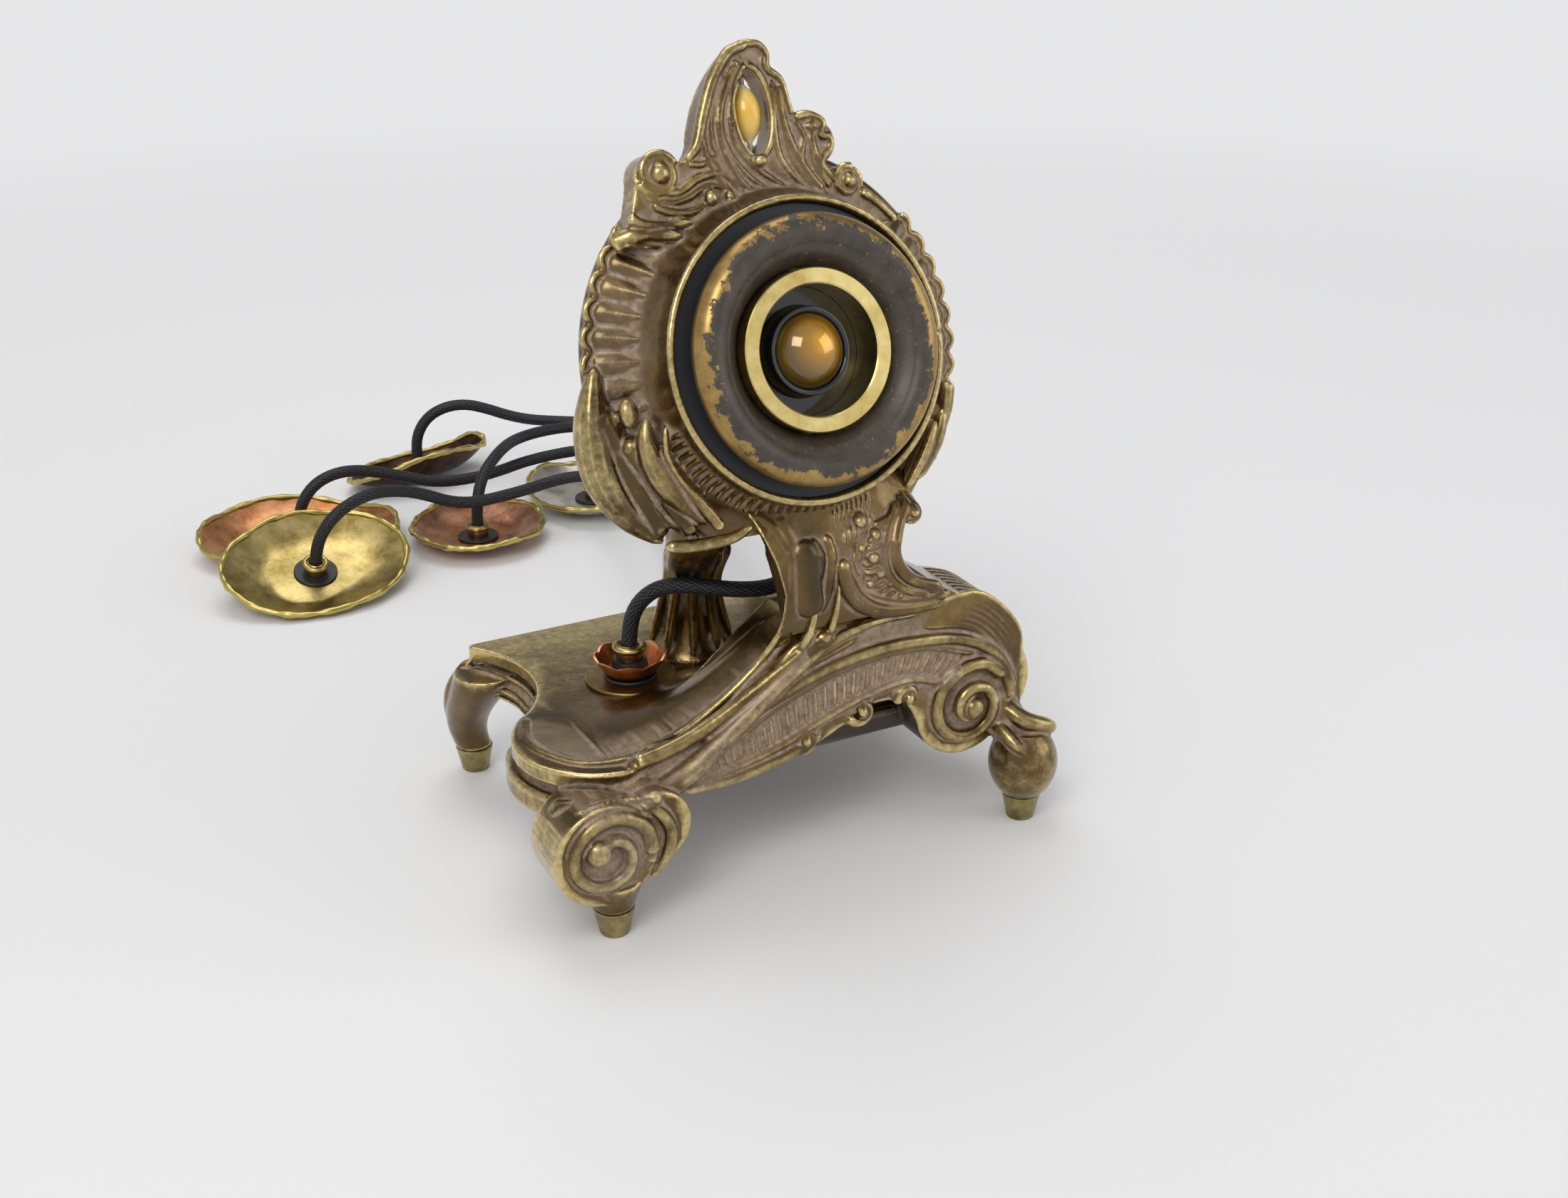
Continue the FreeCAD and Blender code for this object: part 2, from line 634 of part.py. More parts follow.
def bowl(half_length, half_width):
    """A shallow hammered bowl with a rolled rim, drawn out to an oval."""
    reach = half_length - dish_rim
    flat = reach * dish_floor_share
    middle = (flat + reach) / 2
    skin = turned_up((dish_hole, 0), (flat, 0), ((middle, dish_depth * 0.22), (reach, dish_depth)),
                     (reach - dish_wall, dish_depth),
                     ((middle - dish_wall * 0.4, dish_depth * 0.22 + dish_wall), (flat - 0.2, dish_wall)),
                     (dish_hole, dish_wall))
    rim = Part.makeTorus(reach, dish_rim, Vector(0, 0, dish_depth))
    whole = skin.fuse(rim).removeSplitter()
    stretch = Matrix()
    stretch.scale(1.0, half_width / half_length, 1.0)
    if abs(half_width - half_length) > 1e-6:
        whole = whole.transformGeometry(stretch)
        centre_hole = Part.makeCylinder(dish_hole, 10, Vector(0, 0, -5))
        collar = Part.makeCylinder(dish_hole + 3, dish_wall)
        whole = whole.fuse(collar).cut(centre_hole)
    return whole.Solids[0]


def dish_place(name):
    x, y, height, half_length, half_width, turn, tilt_x, tilt_y = dishes[name]
    spin = Rotation(Vector(0, 0, 1), turn)
    tilt = Rotation(Vector(1, 0, 0), tilt_x).multiply(Rotation(Vector(0, 1, 0), tilt_y))
    return Placement(Vector(x, y, height), tilt.multiply(spin))


def dish_pieces(name):
    """A dish, its washer and its eyelet, and where its cord ends."""
    half_length, half_width = dishes[name][3], dishes[name][4]
    place = dish_place(name)
    washer_top = dish_wall + washer_thickness
    hole = stem_radius + slip
    washer = turned_up((hole, dish_wall), (washer_radius, dish_wall), (washer_radius, washer_top), (hole, washer_top))
    collar = eyelet(washer_top)
    collar.translate(Vector(0, 0, washer_top))
    made = {name + "_dish": bowl(half_length, half_width), name + "_washer": washer, name + "_eyelet": collar}
    for solid in made.values():
        solid.Placement = place.multiply(solid.Placement)
    end = place.multVec(Vector(0, 0, washer_top + eyelet_height - eyelet_socket + cord_slip))
    way = place.Rotation.multVec(Vector(0, 0, 1))
    return made, end, way


def smooth_route(start, start_way, middle, end, end_way):
    """Points a run apart on a smooth path that leaves start along its way and comes in to end along its own."""
    first = start.add(start_way * end_run)
    last = end.add(end_way * end_run)
    knots = [first] + [Vector(*p) for p in middle] + [last]
    spans = [b.sub(a).Length for a, b in zip(knots, knots[1:])]
    slopes = [start_way]
    for index in range(1, len(knots) - 1):
        before = knots[index].sub(knots[index - 1]) * (1 / spans[index - 1])
        after = knots[index + 1].sub(knots[index]) * (1 / spans[index])
        total = spans[index - 1] + spans[index]
        slopes.append(before * (spans[index] / total) + after * (spans[index - 1] / total))
    slopes.append(end_way * -1)
    fine = [first]
    for index, span in enumerate(spans):
        for step in range(1, 41):
            t = step / 40
            here = knots[index] * (2 * t ** 3 - 3 * t ** 2 + 1)
            here = here.add(slopes[index] * (span * (t ** 3 - 2 * t ** 2 + t)))
            here = here.add(knots[index + 1] * (3 * t ** 2 - 2 * t ** 3))
            here = here.add(slopes[index + 1] * (span * (t ** 3 - t ** 2)))
            fine.append(here)
    lengths = [0.0]
    for before, after in zip(fine, fine[1:]):
        lengths.append(lengths[-1] + after.sub(before).Length)
    count = int(round(lengths[-1] / cord_run))
    points = [start, first]
    place = 0
    for index in range(1, count):
        goal = lengths[-1] * index / count
        while lengths[place + 1] < goal:
            place += 1
        share = (goal - lengths[place]) / (lengths[place + 1] - lengths[place])
        points.append(fine[place].add(fine[place + 1].sub(fine[place]) * share))
    return points + [last, end]


def entry_arc(end, way, before):
    """The points of a quarter bend that brings a cord from before down into its eyelet."""
    last = end.add(way * end_run)
    side = before.sub(last)
    side = side.sub(way * side.dot(way))
    side.normalize()
    bend = []
    for degrees in (88, 58, 29):
        angle = math.radians(degrees)
        spot = last.add(way * (entry_bend * math.sin(angle)))
        bend.append(tuple(spot.add(side * (entry_bend * (1 - math.cos(angle))))))
    return bend


def cord(name, spots):
    """A cord's tube: straight runs joined by tangent arcs as large as the runs allow."""
    edges = []
    here = spots[0]
    tightest = 1e9
    tight_spot = here
    for before, corner, after in zip(spots, spots[1:], spots[2:]):
        back = before.sub(corner)
        ahead = after.sub(corner)
        turn = math.pi - back.getAngle(ahead)
        if turn < 0.002:
            continue
        cut = 0.45 * min(back.Length, ahead.Length)
        radius = cut / math.tan(turn / 2)
        if radius < tightest:
            tightest = radius
            tight_spot = corner
        back.normalize()
        ahead.normalize()
        inward = back.add(ahead)
        inward.normalize()
        start = corner.add(back * cut)
        middle = corner.add(inward * (radius / math.cos(turn / 2) - radius))
        end = corner.add(ahead * cut)
        edges.append(Part.LineSegment(here, start).toShape())
        edges.append(Part.Arc(start, middle, end).toShape())
        here = end
    edges.append(Part.LineSegment(here, spots[-1]).toShape())
    wire = Part.Wire(edges)
    ring = Part.Wire(Part.makeCircle(cord_radius, spots[0], spots[1].sub(spots[0])))
    tube = wire.makePipeShell([ring], True, False)
    share = tube.Volume / (math.pi * cord_radius ** 2 * wire.Length)
    print("%s cord: length %.1f, volume share %.4f" % (name, wire.Length, share))
    print("    least radius %.1f at %.0f, %.0f, %.0f" % (tightest, tight_spot.x, tight_spot.y, tight_spot.z))
    return tube


def cords(ends, socket_end):
    """Every cord, from its bushing to the eyelet at its other end."""
    made = {}
    for name, (end, way) in ends.items():
        start, out = bushing_exit(name)
        middle = routes[name] + entry_arc(end, way, Vector(*routes[name][-1]))
        made[name + "_cord"] = cord(name, smooth_route(start, out, middle, end, way))
    start, out = bushing_exit("base")
    made["base_cord"] = cord("base", smooth_route(socket_end, Vector(0, 0, 1), base_route, start, out))
    return made


def build():
    head = case_head()
    nodes = {
        "case_head": head, "case_base": case_base(), "front_bracket": front_bracket(head),
        "rear_strut_left": rear_strut("left"), "rear_strut_right": rear_strut("right"),
        "base_screws": base_screws(), "rear_cover": rear_cover(), "cover_screws": cover_screws(),
        "cord_bushings": cord_bushings(), "backing_ring": backing_ring(), "bezel_ring": bezel_ring(),
        "eyepiece_tube": eyepiece_tube(), "eye_retainer": eye_retainer(), "eye_ball": eye_ball(),
        "eye_seat": eye_seat(), "crest_bead": crest_bead(), "bead_pin": bead_pin(),
        "ferrule_front_left": ferrule(-foot_x, -foot_front), "ferrule_front_right": ferrule(foot_x, -foot_front),
        "ferrule_rear_left": ferrule(-foot_x - 2.4, foot_back),
        "ferrule_rear_right": ferrule(foot_x + 2.4, foot_back),
    }
    socket, socket_end = socket_pieces()
    nodes.update(socket)
    ends = {}
    for name in dishes:
        made, end, way = dish_pieces(name)
        nodes.update(made)
        ends[name] = (end, way)
    nodes.update(cords(ends, socket_end))
    return centred(nodes)


def centred(nodes):
    """Sets the origin under the middle of the case, cords and dishes left out of the measure."""
    free = ("_cord", "_dish", "_washer")
    loose = tuple(name + "_eyelet" for name in dishes)
    boxes = [shape.optimalBoundingBox(False, False) for name, shape in nodes.items()
             if not name.endswith(free) and name not in loose]
    middle_x = (min(box.XMin for box in boxes) + max(box.XMax for box in boxes)) / 2
    middle_y = (min(box.YMin for box in boxes) + max(box.YMax for box in boxes)) / 2
    print("origin at %.3f, %.3f" % (middle_x, middle_y))
    for shape in nodes.values():
        shape.translate(Vector(-middle_x, -middle_y, 0))
    return nodes


os.makedirs("parts", exist_ok=True)
for node_name, shape in build().items():
    if not shape.isValid():
        print("not valid:", node_name)
    shape.exportStep("parts/%s.step" % node_name)
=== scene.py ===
import math

import bmesh
import bpy
import numpy as np
from mathutils import Matrix, Vector


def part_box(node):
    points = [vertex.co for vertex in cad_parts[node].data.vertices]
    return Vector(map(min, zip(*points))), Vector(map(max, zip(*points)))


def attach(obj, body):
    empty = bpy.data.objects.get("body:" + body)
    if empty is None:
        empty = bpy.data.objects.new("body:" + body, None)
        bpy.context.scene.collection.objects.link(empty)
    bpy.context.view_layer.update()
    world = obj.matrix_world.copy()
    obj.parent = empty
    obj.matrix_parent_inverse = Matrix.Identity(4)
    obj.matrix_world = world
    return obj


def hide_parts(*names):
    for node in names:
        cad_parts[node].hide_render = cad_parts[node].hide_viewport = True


# The dressed look of the eye sculpture: a worn gilt clock case, a glass eye in its dial, a bead in its
# crest, and braided cords that run from its back to hammered dishes. Sizes are millimetres in the maker's
# frame, with the dial facing -Y and the origin of the drawing under the dial; out() turns them into the
# frame's metres.

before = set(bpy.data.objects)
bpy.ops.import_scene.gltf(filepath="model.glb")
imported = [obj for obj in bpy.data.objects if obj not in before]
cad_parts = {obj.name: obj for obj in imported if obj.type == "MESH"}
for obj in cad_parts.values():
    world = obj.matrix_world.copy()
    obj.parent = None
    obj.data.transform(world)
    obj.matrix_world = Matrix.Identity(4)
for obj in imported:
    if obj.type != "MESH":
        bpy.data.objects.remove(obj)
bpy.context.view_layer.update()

foot_drawn = (-73.2, -57.0)
lean_deg = 17.0
eye_centre = (0.0, -49.5, 168.4)

photo_width = 2198
focal_pixels = 2700.0
sensor_width = 36.0
camera_place = (-257.6, -512.0, 326.5)
camera_pitch_deg = 24.0
camera_yaw_deg = 28.0

cord_diameter = 5.2
cord_run = 10.0
end_run = 7.0
entry_bend = 20.0
braid_strands = 12
braid_pitch = 16.0
braid_relief = 0.34
braid_under = 0.62
braid_step = 0.0007
braid_around = 44

eyelet_seat = 2.2
cord_gap = 0.05
dish_depth = 7.0
dish_wall = 0.9
washer_top = 1.9


def middle_of(name):
    """The middle of a CAD node's box, right and in, in the frame's millimetres."""
    low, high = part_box(name)
    return np.array([(low[0] + high[0]) * 500, (low[1] + high[1]) * 500])


drawn_origin = np.append(middle_of("ferrule_front_left") - foot_drawn, 0.0)
lean = math.radians(lean_deg)
dial_right = np.array([1.0, 0.0, 0.0])
dial_in = np.array([0.0, math.cos(lean), -math.sin(lean)])
dial_up = np.array([0.0, math.sin(lean), math.cos(lean)])


def out(points):
    """Drawn millimetres to the frame's metres."""
    return (np.asarray(points, dtype=float) + drawn_origin) / 1000.0


def on_dial(points):
    """Dial points (right, depth, up) to drawn millimetres."""
    p = np.asarray(points, dtype=float)
    place = np.array(eye_centre)
    return place + p[..., 0:1] * dial_right + p[..., 1:2] * dial_in + p[..., 2:3] * dial_up


# Materials


def new_material(name):
    """An empty material with its tree and its shader."""
    material = bpy.data.materials.new(name)
    material.use_nodes = True
    tree = material.node_tree
    return material, tree, tree.nodes["Principled BSDF"]


def feed(tree, socket, value):
    """A socket linked to another one, or a value written to it."""
    if isinstance(value, bpy.types.NodeSocket):
        tree.links.new(value, socket)
    else:
        socket.default_value = value


def feed_all(tree, made, **inputs):
    """A node's inputs fed by name, or by number as i0 and i1; a name with set_ before it is a setting."""
    for key, value in inputs.items():
        if key.startswith("set_"):
            setattr(made, key[4:], value)
        elif key[0] == "i" and key[1:].isdigit():
            feed(tree, made.inputs[int(key[1:])], value)
        else:
            feed(tree, made.inputs[key.replace("_", " ")], value)


def node(tree, kind, **inputs):
    """A node with its inputs fed."""
    made = tree.nodes.new(kind)
    feed_all(tree, made, **inputs)
    return made


def ramp(tree, source, *stops):
    """A colour ramp over source, from (place, colour) stops."""
    made = node(tree, "ShaderNodeValToRGB", Fac=source)
    band = made.color_ramp
    while len(band.elements) < len(stops):
        band.elements.new(0.5)
    for element, (place, colour) in zip(band.elements, stops):
        element.position = place
        element.color = (*colour, 1.0)
    return made.outputs["Color"]


def fade(tree, source, *stops):
    """A grey ramp over source, from (place, grey) stops."""
    return ramp(tree, source, *[(place, (grey, grey, grey)) for place, grey in stops])


def attribute(tree, name):
    """A number that the mesh carries."""
    return node(tree, "ShaderNodeAttribute", set_attribute_name=name).outputs["Fac"]


def noise(tree, scale, detail, rough):
    """Noise on object coordinates, scale in features per metre."""
    place = node(tree, "ShaderNodeTexCoord").outputs["Object"]
    made = node(tree, "ShaderNodeTexNoise", Vector=place, Scale=scale, Detail=detail, Roughness=rough)
    return made.outputs["Fac"]


def mixed(tree, share, first, second):
    """first where share is 0 and second where it is 1, as colours."""
    made = node(tree, "ShaderNodeMix", set_data_type="RGBA", i0=share)
    for number, colour in ((6, first), (7, second)):
        feed(tree, made.inputs[number], (*colour, 1.0) if isinstance(colour, tuple) else colour)
    return made.outputs[2]


def maths(tree, operation, *values):
    """A number worked out from numbers or sockets."""
    made = node(tree, "ShaderNodeMath", set_operation=operation)
    for socket, value in zip(made.inputs, values):
        feed(tree, socket, value)
    return made.outputs[0]


def raised(tree, base, source, amount):
    """base plus amount times source."""
    return maths(tree, "ADD", base, maths(tree, "MULTIPLY", source, amount))


def lowered(tree, base, source, amount):
    """base less amount times source."""
    return maths(tree, "SUBTRACT", base, maths(tree, "MULTIPLY", source, amount))


def stirred(tree, base, source, amount):
    """base moved up and down by a noise."""
    return raised(tree, base, maths(tree, "SUBTRACT", source, 0.5), amount)


def bump(tree, shader, height, strength, distance):
    """A fine surface from height, distance in millimetres."""
    made = node(tree, "ShaderNodeBump", Height=height, Strength=strength, Distance=distance / 1000)
    tree.links.new(made.outputs["Normal"], shader.inputs["Normal"])


def gilt():
    """Worn antique gilt: rubbed gold edges that are partly painted highlight, chalky recesses, and painted
    shade darkening the deepest hollows, from what the mesh carries.
    """
    material, tree, shader = new_material("worn_gilt")
    wear = attribute(tree, "wear")
    deep = attribute(tree, "depth")
    tint = attribute(tree, "tint")
    cloud = noise(tree, 55.0, 5.0, 0.65)
    speck = noise(tree, 420.0, 4.0, 0.7)
    shifted = stirred(tree, stirred(tree, wear, cloud, 0.34), speck, 0.22)
    ground = ramp(tree, cloud, (0.30, (0.085, 0.048, 0.014)), (0.52, (0.165, 0.102, 0.030)),
                  (0.72, (0.27, 0.185, 0.060)))
    stain = fade(tree, noise(tree, 24.0, 7.0, 0.72), (0.46, 0), (0.66, 0.6))
    ground = mixed(tree, stain, ground, (0.050, 0.031, 0.010))
    # Rubbed gold for raised edges and convex parts: partly the gilt's real wear, partly painted highlight.
    rubbed_gold_and_highlight = ramp(tree, speck, (0.3, (0.46, 0.34, 0.12)), (0.7, (0.74, 0.60, 0.29)))
    chalk = ramp(tree, speck, (0.3, (0.150, 0.096, 0.056)), (0.7, (0.40, 0.30, 0.205)))
    rub_and_highlight_share = fade(tree, shifted, (0.66, 0), (0.98, 1))
    worn_chalk = fade(tree, shifted, (0.24, 1), (0.46, 0))
    chalk_share = maths(tree, "MAXIMUM", worn_chalk, fade(tree, tint, (0.55, 0), (1.0, 0.85)))
    dark_share = fade(tree, tint, (0.0, 0.8), (0.45, 0))
    ground = mixed(tree, dark_share, ground, (0.050, 0.034, 0.010))
    colour = mixed(tree, rub_and_highlight_share, mixed(tree, chalk_share, ground, chalk), rubbed_gold_and_highlight)
    # Painted shade: the deepest hollows darkened to near black.
    painted_shade_share = fade(tree, deep, (0.10, 1), (0.42, 0))
    colour = mixed(tree, painted_shade_share, colour, (0.030, 0.017, 0.008))
    rough = raised(tree, raised(tree, 0.19, chalk_share, 0.32), speck, 0.10)
    feed_all(tree, shader, Base_Color=colour, Metallic=lowered(tree, 0.92, chalk_share, 0.62),
             Roughness=rough, Coat_Weight=0.40, Coat_Roughness=0.12)
    bump(tree, shader, speck, 0.35, 0.25)
    return material


def metal(name, dark, light, rough, scale, scratches=0.25):
    """A plain metal with soft clouding and a fine worked surface."""
    material, tree, shader = new_material(name)
    cloud = noise(tree, scale, 6.0, 0.65)
    feed_all(tree, shader, Base_Color=ramp(tree, cloud, (0.34, dark), (0.66, light)), Metallic=1.0,
             Roughness=raised(tree, rough, cloud, 0.14))
    bump(tree, shader, noise(tree, scale * 5, 3.0, 0.6), scratches, 0.12)
    return material


def worn_enamel():
    """Black enamel rubbed through to ochre brass on the round of the lip, chipped at its edge."""
    material, tree, shader = new_material("worn_enamel")
    rub = attribute(tree, "wear")
    chips = noise(tree, 150.0, 8.0, 0.72)
    flecks = noise(tree, 620.0, 3.0, 0.6)
    bare = fade(tree, stirred(tree, rub, chips, 1.5), (0.50, 0), (0.535, 1))
    spots = fade(tree, flecks, (0.66, 0), (0.69, 1))
    bare = maths(tree, "MAXIMUM", bare, maths(tree, "MULTIPLY", spots, 0.75))
    brass = ramp(tree, chips, (0.3, (0.20, 0.115, 0.035)), (0.7, (0.44, 0.30, 0.105)))
    enamel = ramp(tree, chips, (0.3, (0.022, 0.020, 0.018)), (0.7, (0.082, 0.060, 0.043)))
    feed_all(tree, shader, Base_Color=mixed(tree, bare, enamel, brass),
             Metallic=maths(tree, "MULTIPLY", bare, 0.85), Roughness=lowered(tree, 0.42, bare, 0.10))
    bump(tree, shader, bare, 0.5, 0.15)
    return material


def plain(name, colour, rough, coat=0.0):
    """One even finish."""
    material, tree, shader = new_material(name)
    feed_all(tree, shader, Base_Color=(*colour, 1.0), Roughness=rough, Coat_Weight=coat, Coat_Roughness=0.05)
    return material


def amber():
    """The ball of the eye: clear glass over amber, with painted light in it: an orange spot near its middle
    that fades to dark amber.
    """
    material, tree, shader = new_material("amber_glass")
    place = node(tree, "ShaderNodeTexCoord").outputs["Object"]
    centre = tuple(out(on_dial(np.array([[2.0, -1.0, 2.5]])))[0])
    gap = node(tree, "ShaderNodeVectorMath", set_operation="DISTANCE", i0=place, i1=centre).outputs["Value"]
    # Painted light: an orange spot near the middle of the ball, fading to dark amber towards its edge.
    glow = ramp(tree, maths(tree, "MULTIPLY", gap, 70.0), (0.06, (0.90, 0.46, 0.03)),
                (0.34, (0.42, 0.20, 0.010)), (0.80, (0.110, 0.066, 0.008)))
    feed_all(tree, shader, Base_Color=glow, Roughness=0.10, Metallic=0.35, Coat_Weight=1.0,
             Coat_Roughness=0.03)
    return material


def pearl():
    """The bead: pale at its ends and sides, honey yellow in the middle."""
    material, tree, shader = new_material("honey_pearl")
    mix = stirred(tree, attribute(tree, "wear"), noise(tree, 500.0, 3.0, 0.6), 0.3)
    colour = ramp(tree, mix, (0.15, (0.84, 0.80, 0.66)), (0.50, (0.84, 0.60, 0.16)),
                  (0.95, (0.80, 0.48, 0.05)))
    feed_all(tree, shader, Base_Color=colour, Roughness=0.30, Subsurface_Weight=0.25,
             Subsurface_Radius=(0.004, 0.002, 0.001), Coat_Weight=0.7)
    return material


def braid():
    """Black braided nylon: lighter on the raised strands that the mesh carries and darker between them, as
    painted highlight and painted shade.
    """
    material, tree, shader = new_material("black_braid")
    # Painted highlight on the strand crests and painted shade in the gaps between strands, read from the
    # mesh's wear values.
    colour = ramp(tree, attribute(tree, "wear"), (0.25, (0.0015, 0.0015, 0.002)),
                  (0.60, (0.006, 0.006, 0.007)), (0.95, (0.052, 0.053, 0.058)))
    feed_all(tree, shader, Base_Color=colour, Roughness=0.46, Specular_IOR_Level=0.24)
    return material


def hammered(name, dark, light, edge_colour, rough):
    """Beaten sheet with a rolled rim of its own colour, told apart by the wear attribute."""
    material, tree, shader = new_material(name)
    rim = attribute(tree, "wear")
    cloud = noise(tree, 75.0, 6.0, 0.7)
    stain = fade(tree, noise(tree, 33.0, 3.0, 0.5), (0.56, 0), (0.78, 0.75))
    body = ramp(tree, cloud, (0.36, dark), (0.62, light))
    body = mixed(tree, stain, body, tuple(c * 0.35 for c in dark))
    feed_all(tree, shader, Base_Color=mixed(tree, rim, body, edge_colour), Metallic=1.0,
             Roughness=raised(tree, rough, cloud, 0.18))
    bump(tree, shader, noise(tree, 300.0, 3.0, 0.6), 0.25, 0.3)
    return material


paint = {
    "gilt": gilt(),
    "bezel": worn_enamel(),
    "backing": plain("blue_black_card", (0.016, 0.019, 0.026), 0.50),
    "eyepiece": metal("polished_brass", (0.58, 0.42, 0.12), (0.86, 0.70, 0.31), 0.20, 90.0, 0.15),
    "brass": metal("old_brass", (0.30, 0.21, 0.075), (0.60, 0.47, 0.20), 0.24, 160.0),
    "ferrule": metal("ferrule_brass", (0.16, 0.125, 0.05), (0.46, 0.37, 0.16), 0.22, 130.0),
    "disc": metal("disc_brass", (0.17, 0.115, 0.038), (0.34, 0.24, 0.085), 0.30, 120.0),
    "black_gloss": plain("black_gloss", (0.006, 0.006, 0.008), 0.10, 0.6),
    "rubber": plain("black_rubber", (0.012, 0.012, 0.013), 0.42),
    "amber": amber(),
    "pearl": pearl(),
    "cover": metal("dark_bronze", (0.045, 0.030, 0.014), (0.11, 0.075, 0.034), 0.45, 90.0),
    "cord": braid(),
}
sheets = {
    "cup": ("cup_copper", (0.30, 0.085, 0.030), (0.62, 0.25, 0.11), (0.66, 0.32, 0.16), 0.26),
    "brass_dish": ("dish_brass", (0.26, 0.19, 0.055), (0.60, 0.47, 0.19), (0.52, 0.42, 0.13), 0.22),
    "large_copper_dish": ("dish_copper", (0.40, 0.15, 0.05), (0.74, 0.36, 0.17), (0.50, 0.40, 0.12), 0.24),
    "copper_dish": ("dish_rose_copper", (0.40, 0.15, 0.07), (0.78, 0.42, 0.26), (0.52, 0.42, 0.13), 0.20),
    "silver_dish": ("dish_silver", (0.46, 0.43, 0.37), (0.80, 0.77, 0.70), (0.55, 0.44, 0.14), 0.24),
    "dark_leaf_dish": ("dish_dark", (0.022, 0.012, 0.008), (0.075, 0.040, 0.024), (0.52, 0.41, 0.14), 0.26),
}
for sheet, looks in sheets.items():
    paint[sheet] = hammered(*looks)


# Meshes


def linked(name, data):
    """An object of the scene."""
    made = bpy.data.objects.new(name, data)
    bpy.context.scene.collection.objects.link(made)
    return made


def mesh_of(name, points, faces):
    """A mesh from points and faces."""
    mesh = bpy.data.meshes.new(name)
    mesh.from_pydata([tuple(p) for p in points], [], faces)
    return mesh


def evaluated(made):
    """An object's mesh with its modifiers applied."""
    bpy.context.view_layer.update()
    return bpy.data.meshes.new_from_object(made.evaluated_get(bpy.context.evaluated_depsgraph_get()))


def unit(ways):
    """Directions of length one."""
    return ways / np.linalg.norm(ways, axis=-1, keepdims=True)


def round_angles(count):
    """Even angles round a ring."""
    return np.arange(count) * 2 * math.pi / count


def skin(rows, around, closed=True, base=0):
    """Faces over rings of around points each; where closed, the last ring joins the first."""
    faces = []
    for row in range(rows if closed else rows - 1):
        here = base + row * around
        there = base + (row + 1) % rows * around
        for k in range(around):
            m = (k + 1) % around
            faces.append((here + k, here + m, there + m, there + k))
    return faces


def tube_skin(rows, around):
    """Faces over rings of points, with a cap at each end."""
    last = (rows - 1) * around
    return skin(rows, around, False) + [tuple(range(around))[::-1], tuple(range(last, last + around))]


def store(mesh, name, values):
    """A number for each vertex, for the material to read."""
    layer = mesh.attributes.new(name, "FLOAT", "POINT")
    layer.data.foreach_set("value", np.asarray(values, dtype=np.float32))


def finish_piece(made, material, body, replaces):
    """A piece's finish, its body and the CAD nodes that it stands for."""
    made.data.materials.clear()
    made.data.materials.append(material)
    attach(made, body)
    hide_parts(*replaces)


def piece(name, points, faces, material, replaces, wear=None, body="case", sharp=True):
    """A finished piece from frame metres."""
    mesh = mesh_of(name, points, faces)
    mesh.update()
    made = linked(name, mesh)
    if wear is not None:
        store(mesh, "wear", wear)
    mesh.shade_smooth()
    if sharp:
        mesh.set_sharp_from_angle(angle=math.radians(42))
    finish_piece(made, material, body, replaces)
    return made


def clean(points, faces):
    """Doubles merged and faces turned outwards."""
    mesh = mesh_of("clean", points, faces)
    work = bmesh.new()
    work.from_mesh(mesh)
    bmesh.ops.remove_doubles(work, verts=work.verts, dist=1e-5)
    bmesh.ops.recalc_face_normals(work, faces=work.faces)
    work.verts.index_update()
    new_points = np.array([v.co for v in work.verts])
    new_faces = [tuple(v.index for v in f.verts) for f in work.faces]
    work.free()
    bpy.data.meshes.remove(mesh)
    return new_points, new_faces


def lathe(profile, segments):
    """A closed turned mesh about +Y from (radius, depth) points."""
    profile = np.asarray(profile, dtype=float)
    angles = round_angles(segments)
    ring = np.stack([np.cos(angles), np.zeros(segments), np.sin(angles)], axis=1)
    points = (profile[None, :, 0:1] * ring[:, None, :]) + np.array([0, 1.0, 0]) * profile[None, :, 1:2]
    return clean(points.reshape(-1, 3), skin(segments, len(profile)))


def arc(centre, radius, start_deg, end_deg, steps):
    """Points of an arc in a (radius, depth) profile."""
    angles = np.radians(np.linspace(start_deg, end_deg, steps))
    return [(centre[0] + radius * math.cos(a), centre[1] + radius * math.sin(a)) for a in angles]


def dial_piece(name, profile, finish, replaced, wear=None):
    """A turned piece of the dial."""
    points, faces = lathe(profile, 192)
    values = wear(points) if wear else None
    piece(name, out(on_dial(points)), faces, paint[finish], [replaced], values)


def upright_piece(name, profile, base, turn, finish, replaced):
    """A turned piece about its own upright axis, from (radius, height), turned and set down at base."""
    points, faces = lathe(profile, 96)
    points = points[:, [0, 2, 1]] * np.array([1, -1, 1])
    placed = points @ np.asarray(turn).T + np.asarray(base)
    return piece(name, out(placed), faces, paint[finish], [replaced])


def copied(name, finish):
    """A CAD node's own shape with merged points and a finish."""
    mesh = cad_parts[name].data.copy()
    work = bmesh.new()
    work.from_mesh(mesh)
    bmesh.ops.remove_doubles(work, verts=work.verts, dist=1e-6)
    work.to_mesh(mesh)
    work.free()
    mesh.shade_smooth()
    mesh.set_sharp_from_angle(angle=math.radians(30))
    finish_piece(linked("dressed_" + name, mesh), paint[finish], "case", [name])


# Cords


def lengths_along(line):
    """How far along a line each of its points is."""
    return np.concatenate([[0], np.cumsum(np.linalg.norm(np.diff(line, axis=0), axis=1))])


def picked(line, places, goals):
    """A line's points at goals, where places says how far along its own points are."""
    return np.stack([np.interp(goals, places, line[:, k]) for k in range(3)], axis=1)


